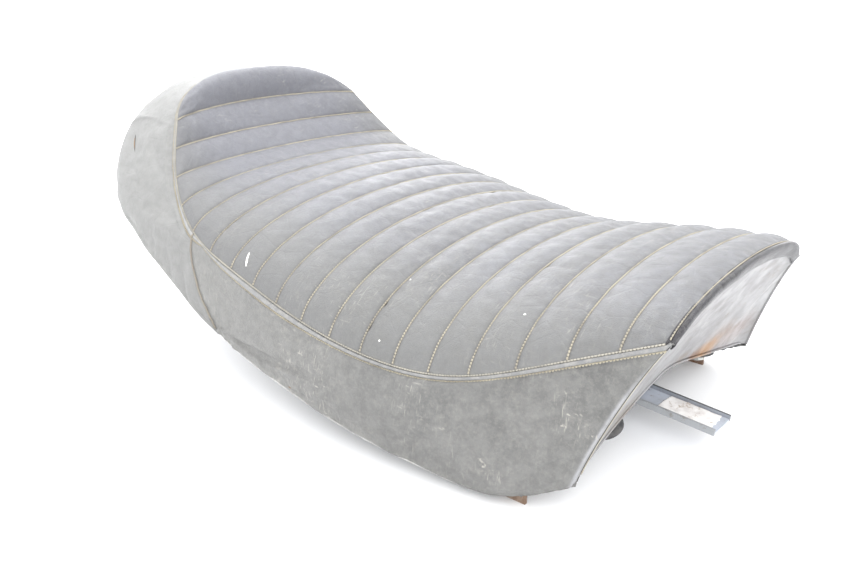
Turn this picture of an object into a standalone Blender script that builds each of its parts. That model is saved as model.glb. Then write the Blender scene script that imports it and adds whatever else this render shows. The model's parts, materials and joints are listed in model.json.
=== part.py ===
"""Motorcycle seat with a ribbed saddle and a rear hump, built from its separate pieces.

Metres. +X points to the front of the motorcycle, +Y to the rider's left, +Z up. The seat is
centred on X and Y, and its lowest steel stands on Z = 0.
"""

import bmesh
import bpy
import numpy as np
from math import cos, pi, radians, sin
from mathutils import Matrix, Vector

# ---------------------------------------------------------------- driving dimensions

GAP = 0.0003                  # air left between pieces that touch
RIBS = 18                     # stitched cross rows of the top panel
ROW_END = 20.0                # row number at the crest of the hump, counted from the nose

# The seam between the top panel and the sides, and the crown above it, at a few cross rows.
ROWS = (0, 3, 6, 9, 12, 14, 16, 18)
SEAM_X = (0.293, 0.206, 0.116, 0.028, -0.056, -0.110, -0.156, -0.190)
SEAM_HALF = (0.113, 0.146, 0.163, 0.169, 0.1665, 0.155, 0.136, 0.112)
SEAM_Z = (0.128, 0.098, 0.079, 0.092, 0.115, 0.134, 0.166, 0.208)
CROWN_X = (0.298, 0.203, 0.114, 0.030, -0.052, -0.110, -0.168, -0.212)
CROWN_Z = (0.160, 0.150, 0.141, 0.149, 0.159, 0.1635, 0.172, 0.212)
CROWN_ARC = radians(80)       # half angle of the crown's arc
CROWN_FULLNESS = 1.25         # above 1 the crown is squarer than a circle
BOW_START = 10                # from here the rows bow backwards evenly, up the hump's face
BOW_LENGTH = 4
CREST_X = -0.226
CREST_Z = 0.240
CREST_HANDLE = 0.072          # how broad the seam is where it crosses the crest

# The lower edge: the side rows, then a rounded tail.
EDGE_ROWS = (0, 2, 5, 9, 11.5, 13.5)
EDGE_ROW_X = (0.251, 0.197, 0.102, -0.008, -0.050, -0.070)
TAIL_ROW = 13.5               # row of the seam between the side panels and the tail panel
TAIL_START = -0.070
TAIL_END = -0.302
TAIL_HALF = 0.174
TAIL_SQUARENESS = 3.0
HALF_X = (-0.070, -0.008, 0.050, 0.110, 0.164, 0.197, 0.226, 0.251)
HALF_Y = (0.174, 0.180, 0.181, 0.177, 0.169, 0.162, 0.154, 0.144)
EDGE_X = (-0.302, -0.240, -0.190, -0.130, -0.070, -0.008, 0.102, 0.160, 0.197, 0.226, 0.251)
EDGE_Z = (0.139, 0.133, 0.115, 0.085, 0.056, 0.042, 0.021, 0.013, 0.0095, 0.017, 0.029)

# How far the underside rises from the lower edge to the middle of the seat.
ARCH_X = (-0.302, -0.240, -0.130, -0.008, 0.102, 0.197, 0.251)
ARCH_RISE = (0.0, 0.008, 0.014, 0.022, 0.036, 0.046, 0.034)
ARCH_POWER = 1.6

# Roundness of the skirt between seam and lower edge: 1 is straight, 2 is an ellipse.
SKIRT_ROWS = (0, 4, 9, 13.5, 16, 18, 20)
SKIRT_ROUND = (1.15, 1.35, 1.4, 1.5, 3.0, 3.2, 2.8)

VINYL = 0.0015                # the cover with its backing
SEWN_EDGE = 0.0006            # its thickness where two panels are sewn together
WADDING = 0.0022              # how far each pleat stands up between two stitched rows
HEM = 0.009                   # cover turned in under the pan
PAN_SHEET = 0.002
PAN_INSET = 0.0034            # from the cover's outer edge to the pan's rim
PAN_LIFT = 0.0023             # from the hem's lower face to the pan's
PAN_SAG = 0.0004              # how far the pan's facets hang below its true arch
FOAM_LIFT = PAN_LIFT + PAN_SHEET + 0.0009
FOAM_FRONT_ROW = 0.2
FOAM_INSET = VINYL + 4 * GAP
HUMP_SLACK = 0.005             # more room under the hump's top, where the cover's facets twist
TRIM_DEPTH = 0.011
TRIM_SHEET = 0.0014
STRIP_WIDTH = 0.008           # clamp strips over the hem
STRIP_SHEET = 0.0012

HALF_ROWS = 2                 # rows of facets per pleat
CREST_ROWS = (18.5, 19.0, 19.35, 19.65, 19.85, 19.97)
CROWN_STEPS = 12
SKIRT_STEPS = 4
PAN_STEPS = 16
WALL_STEPS = 4
HUMP_ROW = 14.5               # the saddle foam and the hump foam meet here

TONGUE_WIDTH = 0.030
TONGUE_HEIGHT = 0.005
TONGUE_SHEET = 0.002
TONGUE_TIP_X = 0.290
TONGUE_BACK_X = 0.120
TONGUE_FLOOR_Z = 0.0238       # underside of the channel at its tip
TONGUE_SLOPE = radians(4.5)   # it drops towards the tip
RISER_BACK_X = 0.130
RISER_FRONT_X = 0.184
RISER_PLATE = 0.0025

TAB_X = 0.206                 # middle of each side tab
TAB_LENGTH = 0.018
TAB_SHEET = 0.0025
TAB_OUTER_Y = 0.145

STAY_X = -0.088               # rear stay, middle of its foot
STAY_LENGTH = 0.034
STAY_HALF = 0.024
STAY_SHEET = 0.003

STUD_RADIUS = 0.003
HOLE_RADIUS = 0.0033
NUT_ACROSS_FLATS = 0.010
NUT_HEIGHT = 0.005
RIVET_HEAD = 0.0034
CLAMP_RIVET_ROWS = (3, 7, 11, 15.5, 18.5)

BUFFER_RADIUS = 0.013
BUFFERS = {                   # name: x, y, height
    "front": (0.233, 0.079, 0.012),
    "middle": (0.055, 0.120, 0.018),
    "rear": (-0.135, 0.105, 0.018),
}

# ---------------------------------------------------------------- curves of the shape


def spline(knots, values, at):
    """Natural cubic spline through (knots, values), read at `at`."""
    knots = np.asarray(knots, float)
    values = np.asarray(values, float)
    count = len(knots)
    step = np.diff(knots)
    matrix = np.eye(count)
    right = np.zeros(count)
    for i in range(1, count - 1):
        matrix[i, i - 1:i + 2] = step[i - 1], 2 * (step[i - 1] + step[i]), step[i]
        rise = (values[i + 1] - values[i]) / step[i]
        fall = (values[i] - values[i - 1]) / step[i - 1]
        right[i] = 6 * (rise - fall)
    bend = np.linalg.solve(matrix, right)
    i = int(np.clip(np.searchsorted(knots, at, side="right") - 1, 0, count - 2))
    t = at - knots[i]
    h = step[i]
    slope = (values[i + 1] - values[i]) / h - h * (2 * bend[i] + bend[i + 1]) / 6
    return float(values[i] + t * slope + t**2 * bend[i] / 2 + t**3 * (bend[i + 1] - bend[i]) / (6 * h))


def seam(row):
    """Left half of the seam: along the side, then over the crest of the hump."""
    side = Vector([spline(ROWS, v, min(row, RIBS)) for v in (SEAM_X, SEAM_HALF, SEAM_Z)])
    if row <= RIBS:
        return side
    s = (row - RIBS) / (ROW_END - RIBS)
    rise = side + Vector((-0.0041, -0.0033, 0.0061))
    crest = Vector((CREST_X, 0, CREST_Z))
    broad = crest + Vector((0, CREST_HANDLE, 0))
    return (1 - s)**3 * side + 3 * (1 - s)**2 * s * rise + 3 * (1 - s) * s**2 * broad + s**3 * crest


def crown_middle(row):
    """The middle of the top panel at a cross row."""
    x = spline(ROWS, CROWN_X, min(row, RIBS))
    z = spline(ROWS, CROWN_Z, min(row, RIBS))
    if row > RIBS:
        turn = (row - RIBS) / (ROW_END - RIBS) * pi / 2
        x += (CREST_X - x) * (1 - cos(turn))
        z += (CREST_Z - z) * sin(turn)
    return x, z


def edge_height(x):
    return spline(EDGE_X, EDGE_Z, x)


def lower_edge(row):
    """Left half of the lower edge of the cover."""
    if row <= TAIL_ROW:
        x = spline(EDGE_ROWS, EDGE_ROW_X, row)
        y = spline(HALF_X, HALF_Y, x)
    else:
        turn = (row - TAIL_ROW) / (ROW_END - TAIL_ROW) * pi / 2
        power = 2 / TAIL_SQUARENESS
        x = TAIL_START + (TAIL_END - TAIL_START) * sin(turn)**power
        y = TAIL_HALF * max(cos(turn), 0.0)**power
    return Vector((x, y, edge_height(x)))


def half_width(x):
    """Half width of the lower edge at x."""
    if x >= TAIL_START:
        return spline(HALF_X, HALF_Y, x)
    part = min((TAIL_START - x) / (TAIL_START - TAIL_END), 1.0)
    return TAIL_HALF * max(1 - part**TAIL_SQUARENESS, 0.0)**(1 / TAIL_SQUARENESS)


def under(x, y):
    """Height of the seat's arched underside."""
    half = max(half_width(x), 0.004)
    rise = spline(ARCH_X, ARCH_RISE, x)
    return edge_height(x) + rise * (1 - min(abs(y) / half, 1.0)**ARCH_POWER)


def under_normal(x, y):
    """Unit normal of the underside, pointing down."""
    d = 0.002
    slope_x = (under(x + d, y) - under(x - d, y)) / (2 * d)
    slope_y = (under(x, y + d) - under(x, y - d)) / (2 * d)
    return Vector((slope_x, slope_y, -1)).normalized()


def skin(row, column):
    """A point on the cover. Columns run from -2, right lower edge, through -1, right seam,
    0, middle, and 1, left seam, to 2, left lower edge."""
    side = 1 if column >= 0 else -1
    if abs(column) <= 1:
        angle = column * CROWN_ARC
        height = (cos(angle) - cos(CROWN_ARC)) / (1 - cos(CROWN_ARC))
        height = max(height, 0.0)**(1 / CROWN_FULLNESS)
        edge = seam(row)
        x, z = crown_middle(row)
        share = sin(angle) / sin(CROWN_ARC)
        bow = min(max((row - BOW_START) / BOW_LENGTH, 0.0), 1.0)
        reach = height + (1 - share**2 - height) * bow
        return Vector((edge.x + (x - edge.x) * reach, edge.y * share, edge.z + (z - edge.z) * height))
    top = seam(row)
    low = lower_edge(row)
    power = 2 / spline(SKIRT_ROWS, SKIRT_ROUND, row)
    angle = (2 - abs(column)) * pi / 2
    out = max(cos(angle), 0.0)**power
    up = sin(angle)**power
    point = Vector((top.x + (low.x - top.x) * out, top.y + (low.y - top.y) * out, low.z + (top.z - low.z) * up))
    point.y *= side
    return point


def skin_normal(row, column):
    """Outward unit normal of the cover, averaged across the seam."""
    d_row = 0.02
    d_col = 0.01
    low_row = max(row - d_row, 0.0)
    high_row = min(row + d_row, ROW_END)
    low_col = max(column - d_col, -2.0)
    high_col = min(column + d_col, 2.0)
    along = skin(high_row, column) - skin(low_row, column)
    across = skin(row, high_col) - skin(row, low_col)
    normal = across.cross(along)
    if row == ROW_END:
        normal.y = 0
    return normal.normalized()


def inside(row, column, depth):
    """The cover's surface moved inwards by depth."""
    return skin(row, column) - skin_normal(row, column) * depth


def edge_inset(row, depth, lift):
    """A point under the seat, `depth` in from the left lower edge, `lift` above the underside."""
    point = lower_edge(row) + inward(row) * depth
    return Vector((point.x, point.y, under(point.x, point.y) + lift))


def inward(row):
    """Unit vector in plan that points from the left lower edge into the seat."""
    d = 0.03
    back = lower_edge(min(row + d, ROW_END - 0.01)) - lower_edge(max(row - d, 0.0))
    return Vector((-back.y, back.x, 0)).normalized()


def mirrored(point, side):
    return Vector((point.x, point.y * side, point.z))


def spaced(low, high, count):
    return [low + (high - low) * i / count for i in range(count + 1)]


def side_rows():
    """Rows of the saddle, two for each pleat, up to the seam of the tail panel."""
    return [i / HALF_ROWS for i in range(int(TAIL_ROW * HALF_ROWS))]


def tail_rows():
    """Rows behind the side seam, up to just before the crest."""
    first = int(TAIL_ROW * HALF_ROWS) + 1
    return [i / HALF_ROWS for i in range(first, RIBS * HALF_ROWS + 1)] + list(CREST_ROWS)


def last_column(row, depth, lift):
    """The column where a surface inside the cover comes down to `lift` over the underside."""
    low, high = 1.0, 2.0
    for _ in range(24):
        middle = (low + high) / 2
        point = inside(row, middle, depth)
        if point.z > under(point.x, point.y) + lift:
            low = middle
        else:
            high = middle
    return low




# ---------------------------------------------------------------- making objects


def material(name, colour, roughness, metallic=0.0):
    made = bpy.data.materials.get(name)
    if made:
        return made
    made = bpy.data.materials.new(name)
    made.use_nodes = True
    shader = made.node_tree.nodes["Principled BSDF"]
    shader.inputs["Base Color"].default_value = (*colour, 1)
    shader.inputs["Roughness"].default_value = roughness
    shader.inputs["Metallic"].default_value = metallic
    made.diffuse_color = (*colour, 1)
    return made


def object_from(name, vertices, faces, finish):
    mesh = bpy.data.meshes.new(name)
    mesh.from_pydata([tuple(v) for v in vertices], [], faces)
    shape = bmesh.new()
    shape.from_mesh(mesh)
    bmesh.ops.recalc_face_normals(shape, faces=shape.faces)
    shape.to_mesh(mesh)
    shape.free()
    mesh.materials.append(finish)
    made = bpy.data.objects.new(name, mesh)
    bpy.context.scene.collection.objects.link(made)
    return made


def shell(name, outer, inner, finish):
    """A closed body between two grids of points of the same size."""
    rows = len(outer)
    columns = len(outer[0])
    vertices = [p for row in outer for p in row] + [p for row in inner for p in row]
    offset = rows * columns

    def at(i, j, layer):
        return layer * offset + i * columns + j

    faces = []
    for i in range(rows - 1):
        for j in range(columns - 1):
            for layer in (0, 1):
                faces.append((at(i, j, layer), at(i + 1, j, layer), at(i + 1, j + 1, layer), at(i, j + 1, layer)))
    for i in range(rows - 1):
        for j in (0, columns - 1):
            faces.append((at(i, j, 0), at(i + 1, j, 0), at(i + 1, j, 1), at(i, j, 1)))
    for j in range(columns - 1):
        for i in (0, rows - 1):
            faces.append((at(i, j, 0), at(i, j + 1, 0), at(i, j + 1, 1), at(i, j, 1)))
    return object_from(name, vertices, faces, finish)


def prism_data(rings):
    """Vertices and faces of a body that joins rings of points, with flat ends."""
    count = len(rings[0])
    vertices = [p for ring in rings for p in ring]
    faces = [tuple(range(count)), tuple((len(rings) - 1) * count + i for i in range(count))]
    for k in range(len(rings) - 1):
        for i in range(count):
            j = (i + 1) % count
            faces.append((k * count + i, k * count + j, (k + 1) * count + j, (k + 1) * count + i))
    return vertices, faces


def prism(name, rings, finish):
    vertices, faces = prism_data(rings)
    return object_from(name, vertices, faces, finish)


def turned_data(profile, segments, place):
    """A closed body of revolution from a closed profile of (radius, height) points."""
    vertices = []
    for k in range(segments):
        angle = 2 * pi * k / segments
        vertices += [place @ Vector((r * cos(angle), r * sin(angle), z)) for r, z in profile]
    count = len(profile)
    faces = []
    for k in range(segments):
        for i in range(count):
            j = (i + 1) % count
            other = (k + 1) % segments
            faces.append((k * count + i, k * count + j, other * count + j, other * count + i))
    return vertices, faces


def disc_data(profile, segments, place):
    """As turned_data, for a profile that starts and ends on the axis."""
    vertices = [place @ Vector((0, 0, profile[0][1])), place @ Vector((0, 0, profile[-1][1]))]
    inner = profile[1:-1]
    count = len(inner)
    faces = []
    for k in range(segments):
        angle = 2 * pi * k / segments
        vertices += [place @ Vector((r * cos(angle), r * sin(angle), z)) for r, z in inner]
    for k in range(segments):
        here = 2 + k * count
        after = 2 + (k + 1) % segments * count
        faces.append((0, here, after))
        faces.append((1, here + count - 1, after + count - 1))
        for i in range(count - 1):
            faces.append((here + i, here + i + 1, after + i + 1, after + i))
    return vertices, faces


def frame_at(point, down):
    """A placement whose -Z axis points along `down`."""
    turn = Vector((0, 0, -1)).rotation_difference(down)
    return Matrix.Translation(point) @ turn.to_matrix().to_4x4()


def drilled(target, points, radius):
    """Bore vertical holes through an object at the given points."""
    for k, (x, y) in enumerate(points):
        profile = [(0, -0.02), (radius, -0.02), (radius, 0.3), (0, 0.3)]
        vertices, faces = disc_data(profile, 32, Matrix.Translation((x, y, 0)))
        cutter = object_from(f"{target.name}_cutter_{k + 1}", vertices, faces, target.data.materials[0])
        cutter.hide_render = True
        cutter.display_type = "WIRE"
        bore = target.modifiers.new(f"hole_{k + 1}", "BOOLEAN")
        bore.operation = "DIFFERENCE"
        bore.solver = "EXACT"
        bore.object = cutter
    return target


# ---------------------------------------------------------------- soft parts


def pleat(row, column):
    """How far the quilted top stands out between two stitched rows."""
    if row > RIBS:
        swell = sin(pi * (row - RIBS) / (ROW_END - RIBS))
    else:
        swell = abs(sin(pi * row))
    return WADDING * swell * (1 - column**4)


def seam_start(row, side, panel):
    """The seam point, moved a gap into its panel, which is 'top' or 'side'."""
    at_seam = skin(row, side)
    beyond = skin(row, side * 0.9) if panel == "top" else skin(row, side * 1.2)
    along = (skin(min(row + 0.05, ROW_END), side) - skin(max(row - 0.05, 0), side)).normalized()
    away = beyond - at_seam
    away -= along * away.dot(along)
    return at_seam + away.normalized() * GAP * 1.3


def cover_top_panel(finish):
    outer = []
    inner = []
    for row in side_rows() + [TAIL_ROW] + tail_rows():
        line = []
        for column in spaced(-1, 1, CROWN_STEPS):
            if abs(column) == 1:
                line.append(seam_start(row, column, "top"))
            else:
                line.append(skin(row, column))
        normals = [skin_normal(row, c) for c in spaced(-1, 1, CROWN_STEPS)]
        swells = [pleat(row, c) for c in spaced(-1, 1, CROWN_STEPS)]
        depths = [SEWN_EDGE] + [VINYL] * (CROWN_STEPS - 1) + [SEWN_EDGE]
        outer.append([p + n * s for p, n, s in zip(line, normals, swells)])
        inner.append([p - n * d for p, n, d in zip(line, normals, depths)])
    return shell("cover_top_panel", outer, inner, finish)


def skirt_section(row, side):
    """Outer and inner points of a side or tail cover at one row, seam to hem."""
    columns = spaced(1, 2, SKIRT_STEPS)
    outer = [seam_start(row, side, "side")] + [skin(row, side * c) for c in columns[1:]]
    normals = [skin_normal(row, side * c) for c in columns]
    depths = [SEWN_EDGE] + [VINYL] * SKIRT_STEPS
    inner = [p - n * d for p, n, d in zip(outer, normals, depths)]
    corner = edge_inset(row, VINYL, VINYL)
    inner[-1] = mirrored(corner, side)
    outer.append(mirrored(edge_inset(row, HEM, 0), side))
    inner.append(mirrored(edge_inset(row, HEM, VINYL), side))
    return outer, inner


def cover_side(name, side, finish):
    sections = [skirt_section(row, side) for row in side_rows() + [TAIL_ROW - 0.015]]
    return shell(name, [s[0] for s in sections], [s[1] for s in sections], finish)


def cover_tail_panel(finish):
    rows = [TAIL_ROW + 0.015] + tail_rows()
    sections = [skirt_section(row, -1) for row in rows + [ROW_END]]
    sections += [skirt_section(row, 1) for row in reversed(rows)]
    return shell("cover_tail_panel", [s[0] for s in sections], [s[1] for s in sections], finish)


def foam_inset(row):
    return FOAM_INSET + HUMP_SLACK * min(max((row - HUMP_ROW) / 2, 0.0), 1.0)


def foam_edge(row, above, inset):
    """Where the foam's side ends, a little over the pan."""
    below = inside(row, 2, inset)
    height = under(below.x, below.y) + FOAM_LIFT + 0.001
    share = (above.z - height) / (above.z - below.z)
    return above + (below - above) * share


def foam_block(name, rows, finish):
    """Foam between the cover and the pan, for a run of rows."""
    upper = []
    lower = []
    for row in rows:
        inset = foam_inset(row)
        skirt = [inside(row, c, inset) for c in spaced(1, 2, SKIRT_STEPS)[1:-1]]
        skirt.append(foam_edge(row, skirt[-1], inset))
        right = [mirrored(p, -1) for p in reversed(skirt)]
        line = right + [inside(row, c, inset) for c in spaced(-1, 1, CROWN_STEPS)] + skirt
        upper.append(line)
        x, y = line[-1].x, line[-1].y
        shares = spaced(-1, 1, len(line) - 1)
        lower.append([Vector((x, y * s, under(x, y * s) + FOAM_LIFT)) for s in shares])
    return shell(name, upper, lower, finish)


def front_trim(finish):
    """Vinyl band over the front edge of the top panel, on the pan's raked face."""
    front = []
    back = []
    end = last_column(0, VINYL + 2 * GAP, PAN_LIFT)
    for column in spaced(-1, 1, CROWN_STEPS):
        top, low = pan_wall_ends(0, column, end, PAN_LIFT)
        down = (low - top).normalized()
        upper = top - down * (VINYL + 2 * GAP) + Vector((2 * GAP, 0, 0))
        lower = upper + down * TRIM_DEPTH
        back.append([upper, lower])
        front.append([p + Vector((TRIM_SHEET, 0, 0)) for p in (upper, lower)])
    return shell("front_trim", front, back, finish)


# ---------------------------------------------------------------- pan and its fittings


def pan_wall_ends(row, column, end, lift):
    """Upper and lower end of the pan's raked front wall at a column."""
    top = inside(row, column, VINYL + 2 * GAP)
    base = edge_inset(row, PAN_INSET, 0)
    y = base.y * column / end
    return top, Vector((base.x, y, under(base.x, y) + lift))


def pan_wall_line(row, down, lift):
    line = []
    end = last_column(0, VINYL + 2 * GAP, PAN_LIFT)
    for column in spaced(-end, end, PAN_STEPS):
        top, low = pan_wall_ends(row, column, end, lift)
        line.append(top + (low - top) * down)
    return line


def pan_face(x, y):
    """Height of the pan's lower face, clear of its facets."""
    return under(x, y) + PAN_LIFT - PAN_SAG


def pan_floor_line(row, lift):
    base = edge_inset(row, PAN_INSET, 0)
    shares = spaced(-1, 1, PAN_STEPS)
    return [Vector((base.x, base.y * s, under(base.x, base.y * s) + lift)) for s in shares]


def seat_pan(finish):
    """Pressed sheet: a raked front wall, then the arched floor back to the tail."""
    inner_row = PAN_SHEET / 0.031
    outer = [pan_wall_line(0, d, PAN_LIFT) for d in spaced(0, 1, WALL_STEPS)]
    inner = [pan_wall_line(inner_row, d, PAN_LIFT + PAN_SHEET) for d in spaced(0, 1, WALL_STEPS)]
    front = [0.5, 1, 1.5, 2, 2.5]
    middle = [float(row) for row in range(3, int(TAIL_ROW) + 1)]
    for row in front + middle + tail_rows():
        outer.append(pan_floor_line(row, PAN_LIFT))
        inner.append(pan_floor_line(row, PAN_LIFT + PAN_SHEET))
    return shell("seat_pan", outer, inner, finish)


def lip_rubber(name, side, finish):
    """Rubber strip under one end of the front lip."""
    front = []
    back = []
    for share in spaced(0.77, 0.93, 4):
        near = edge_inset(0.02, PAN_INSET, 0)
        far = edge_inset(0.22, PAN_INSET, 0)
        for face, base in ((front, near), (back, far)):
            y = base.y * share
            height = pan_face(base.x, y) - GAP
            face.append([Vector((base.x, y * side, height)), Vector((base.x, y * side, height - 0.0045))])
    return shell(name, front, back, finish)


def below_hem(row, depth, drop):
    """A point under the turned-in hem, `depth` in from its edge."""
    edge = edge_inset(row, 0, -drop)
    return edge + (edge_inset(row, HEM, -drop) - edge) * (depth / HEM)


def clamp_strip(name, path, finish):
    """Steel strip that holds the hem; path is a list of (row, side)."""
    low = []
    high = []
    for row, side in path:
        for face, drop in ((low, GAP + STRIP_SHEET), (high, GAP)):
            edges = (0.0006, 0.0006 + STRIP_WIDTH)
            face.append([mirrored(below_hem(row, depth, drop), side) for depth in edges])
    return shell(name, low, high, finish)


def rivet(point, down, radius, height):
    """A domed head whose flat back lies at point."""
    profile = [(0, 0), (radius, 0), (radius, -0.3 * height), (0.62 * radius, -0.85 * height), (0, -height)]
    return disc_data(profile, 10, frame_at(point, down))


def clamp_rivets(name, side, finish):
    drop = 2 * GAP + STRIP_SHEET
    for k, row in enumerate(CLAMP_RIVET_ROWS):
        point = mirrored(below_hem(row, 0.0006 + STRIP_WIDTH / 2, drop), side)
        normal = under_normal(point.x, point.y)
        vertices, faces = rivet(point + normal * GAP, normal, 0.0026, 0.0014)
        object_from(f"{name}_{k + 1}", vertices, faces, finish)


def tongue_place():
    """The channel's own frame: X along it to the tip, origin under the tip."""
    return Matrix.Translation((TONGUE_TIP_X, 0, TONGUE_FLOOR_Z)) @ Matrix.Rotation(TONGUE_SLOPE, 4, "Y")


def tongue_channel(finish):
    half = TONGUE_WIDTH / 2
    sheet = TONGUE_SHEET
    profile = [(-half, 0), (half, 0), (half, TONGUE_HEIGHT), (half - sheet, TONGUE_HEIGHT)]
    profile += [(half - sheet, sheet), (sheet - half, sheet), (sheet - half, TONGUE_HEIGHT), (-half, TONGUE_HEIGHT)]
    place = tongue_place()
    length = TONGUE_TIP_X - TONGUE_BACK_X
    rings = [[place @ Vector((x, y, z)) for y, z in profile] for x in (-length, 0)]
    return prism("tongue_channel", rings, finish)


def blank_label(finish):
    """Plain worn sticker on the floor of the channel."""
    place = tongue_place()
    low = TONGUE_SHEET + GAP
    profile = [(-0.0118, low), (0.0118, low), (0.0118, low + 0.0004), (-0.0118, low + 0.0004)]
    rings = [[place @ Vector((x, y, z)) for y, z in profile] for x in (-0.0475, -0.0035)]
    return prism("blank_label", rings, finish)


def riser_top():
    corners = [(x, 0.032) for x in (RISER_BACK_X, RISER_FRONT_X)]
    return min(pan_face(x, y) for x, y in corners) - GAP


def riser_studs():
    return [(x, y) for x in (RISER_BACK_X + 0.010, RISER_FRONT_X - 0.010) for y in (-0.0255, 0.0255)]


def tongue_riser(finish):
    """Hat bracket that hangs the channel from the pan."""
    top = riser_top()
    low = top - RISER_PLATE
    leg = TONGUE_WIDTH / 2 + GAP
    wall = leg + RISER_PLATE
    leg_end = TONGUE_FLOOR_Z + (TONGUE_TIP_X - RISER_FRONT_X) * sin(TONGUE_SLOPE) + 0.002
    profile = [(-0.033, top), (0.033, top), (0.033, low), (wall, low), (wall, leg_end), (leg, leg_end)]
    profile += [(leg, low), (-leg, low), (-leg, leg_end), (-wall, leg_end), (-wall, low), (-0.033, low)]
    rings = [[Vector((x, y, z)) for y, z in profile] for x in (RISER_BACK_X, RISER_FRONT_X)]
    made = prism("tongue_riser", rings, finish)
    return drilled(made, riser_studs(), HOLE_RADIUS)


def stud(x, y, low):
    """Weld stud from the pan's underside down to `low`."""
    top = min(pan_face(x + dx, abs(y) + STUD_RADIUS) for dx in (-STUD_RADIUS, STUD_RADIUS)) - GAP
    profile = [(0, low), (STUD_RADIUS, low), (STUD_RADIUS, top), (0, top)]
    return disc_data(profile, 12, Matrix.Translation((x, y, 0)))


def nut(x, y, top):
    """Hexagon nut with its upper face at `top`."""
    flat = NUT_ACROSS_FLATS / 2
    vertices = []
    for k in range(12):
        angle = pi * k / 6
        reach = flat if k % 2 == 0 else flat / cos(pi / 6)
        for radius, height in ((HOLE_RADIUS, top), (reach, top), (reach, top - NUT_HEIGHT), (HOLE_RADIUS, top - NUT_HEIGHT)):
            vertices.append(Vector((x + radius * cos(angle), y + radius * sin(angle), height)))
    faces = []
    for k in range(12):
        after = (k + 1) % 12
        for i in range(4):
            j = (i + 1) % 4
            faces.append((4 * k + i, 4 * k + j, 4 * after + j, 4 * after + i))
    return vertices, faces


def tongue_fasteners(stud_finish, nut_finish):
    under_plate = riser_top() - RISER_PLATE - GAP
    low = under_plate - NUT_HEIGHT - 0.003
    for k, (x, y) in enumerate(riser_studs()):
        object_from(f"tongue_stud_{k + 1}", *stud(x, y, low), stud_finish)
        object_from(f"tongue_nut_{k + 1}", *nut(x, y, under_plate), nut_finish)


def stay_studs():
    return [(STAY_X, y) for y in (-0.038, 0.038)]


def stay_flange(x):
    """Height of the stay's flange under the sloping pan."""
    return pan_face(x, 0.050) - GAP


def rear_stay(finish):
    """Folded steel stay under the tail; its foot bolts to the motorcycle's frame."""
    half = STAY_HALF
    sheet = STAY_SHEET
    rings = []
    for x in (STAY_X + STAY_LENGTH / 2, STAY_X - STAY_LENGTH / 2):
        top = stay_flange(x)
        low = top - sheet
        profile = [(-half, 0), (half, 0), (half, low), (0.050, low), (0.050, top), (half - sheet, top)]
        profile += [(half - sheet, sheet), (sheet - half, sheet), (sheet - half, top), (-0.050, top)]
        profile += [(-0.050, low), (-half, low)]
        rings.append([Vector((x, y, z)) for y, z in profile])
    made = prism("rear_stay", rings, finish)
    return drilled(made, stay_studs() + [(STAY_X, 0)], HOLE_RADIUS)


def stay_fasteners(stud_finish, nut_finish):
    slope = (stay_flange(STAY_X - 0.006) - stay_flange(STAY_X + 0.006)) / 0.012
    under_flange = stay_flange(STAY_X) - STAY_SHEET - NUT_ACROSS_FLATS * 0.6 * abs(slope) - GAP
    low = under_flange - NUT_HEIGHT - 0.003
    for k, (x, y) in enumerate(stay_studs()):
        object_from(f"rear_stay_stud_{k + 1}", *stud(x, y, low), stud_finish)
        object_from(f"rear_stay_nut_{k + 1}", *nut(x, y, under_flange), nut_finish)


def side_tab(name, side, finish):
    """Bent steel tab under the pan; its lower end is what the seat's front stands on."""
    rings = []
    inner_y = TAB_OUTER_Y - TAB_SHEET
    leg = (0.134, 0.118)
    for x in (TAB_X - TAB_LENGTH / 2, TAB_X + TAB_LENGTH / 2):
        ring = [(TAB_OUTER_Y, 0.0)]
        ring += [(y, pan_face(x, y) - GAP) for y in (TAB_OUTER_Y, *leg)]
        ring += [(y, pan_face(x, y) - GAP - TAB_SHEET) for y in (*reversed(leg), inner_y)]
        ring += [(inner_y, 0.0)]
        rings.append([Vector((x, y * side, z)) for y, z in ring])
    return prism(name, rings, finish)


def tab_rivets(name, side, finish):
    for k, x in enumerate((TAB_X - 0.0045, TAB_X + 0.0045)):
        y = 0.126
        normal = under_normal(x, y * side)
        base = Vector((x, y * side, pan_face(x, y) - GAP - TAB_SHEET)) + normal * 2 * GAP
        vertices, faces = rivet(base, normal, RIVET_HEAD, 0.002)
        object_from(f"{name}_{k + 1}", vertices, faces, finish)


def buffer_place(x, y):
    normal = under_normal(x, y)
    tilt = BUFFER_RADIUS * Vector((normal.x, normal.y)).length * 0.35
    point = Vector((x, y, pan_face(x, y))) + normal * (GAP + tilt)
    return frame_at(point, normal)


def rubber_buffer(name, x, y, height, finish):
    """Domed rubber foot with a recess for its screw."""
    r = BUFFER_RADIUS
    profile = [(0.0032, 0), (r, 0), (r, -0.55 * height), (0.85 * r, -0.85 * height), (0.6 * r, -height)]
    profile += [(0.0055, -height), (0.0055, 0.004 - height), (0.0032, 0.004 - height)]
    vertices, faces = turned_data(profile, 14, buffer_place(x, y))
    return object_from(name, vertices, faces, finish)


def buffer_screw(name, x, y, height, finish):
    head = 0.004 - height - GAP
    profile = [(0, -GAP), (0.0028, -GAP), (0.0028, head), (0.005, head), (0.005, head - 0.002)]
    profile.append((0, head - 0.0028))
    vertices, faces = disc_data(profile, 12, buffer_place(x, y))
    return object_from(name, vertices, faces, finish)


# ---------------------------------------------------------------- the assembly


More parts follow.
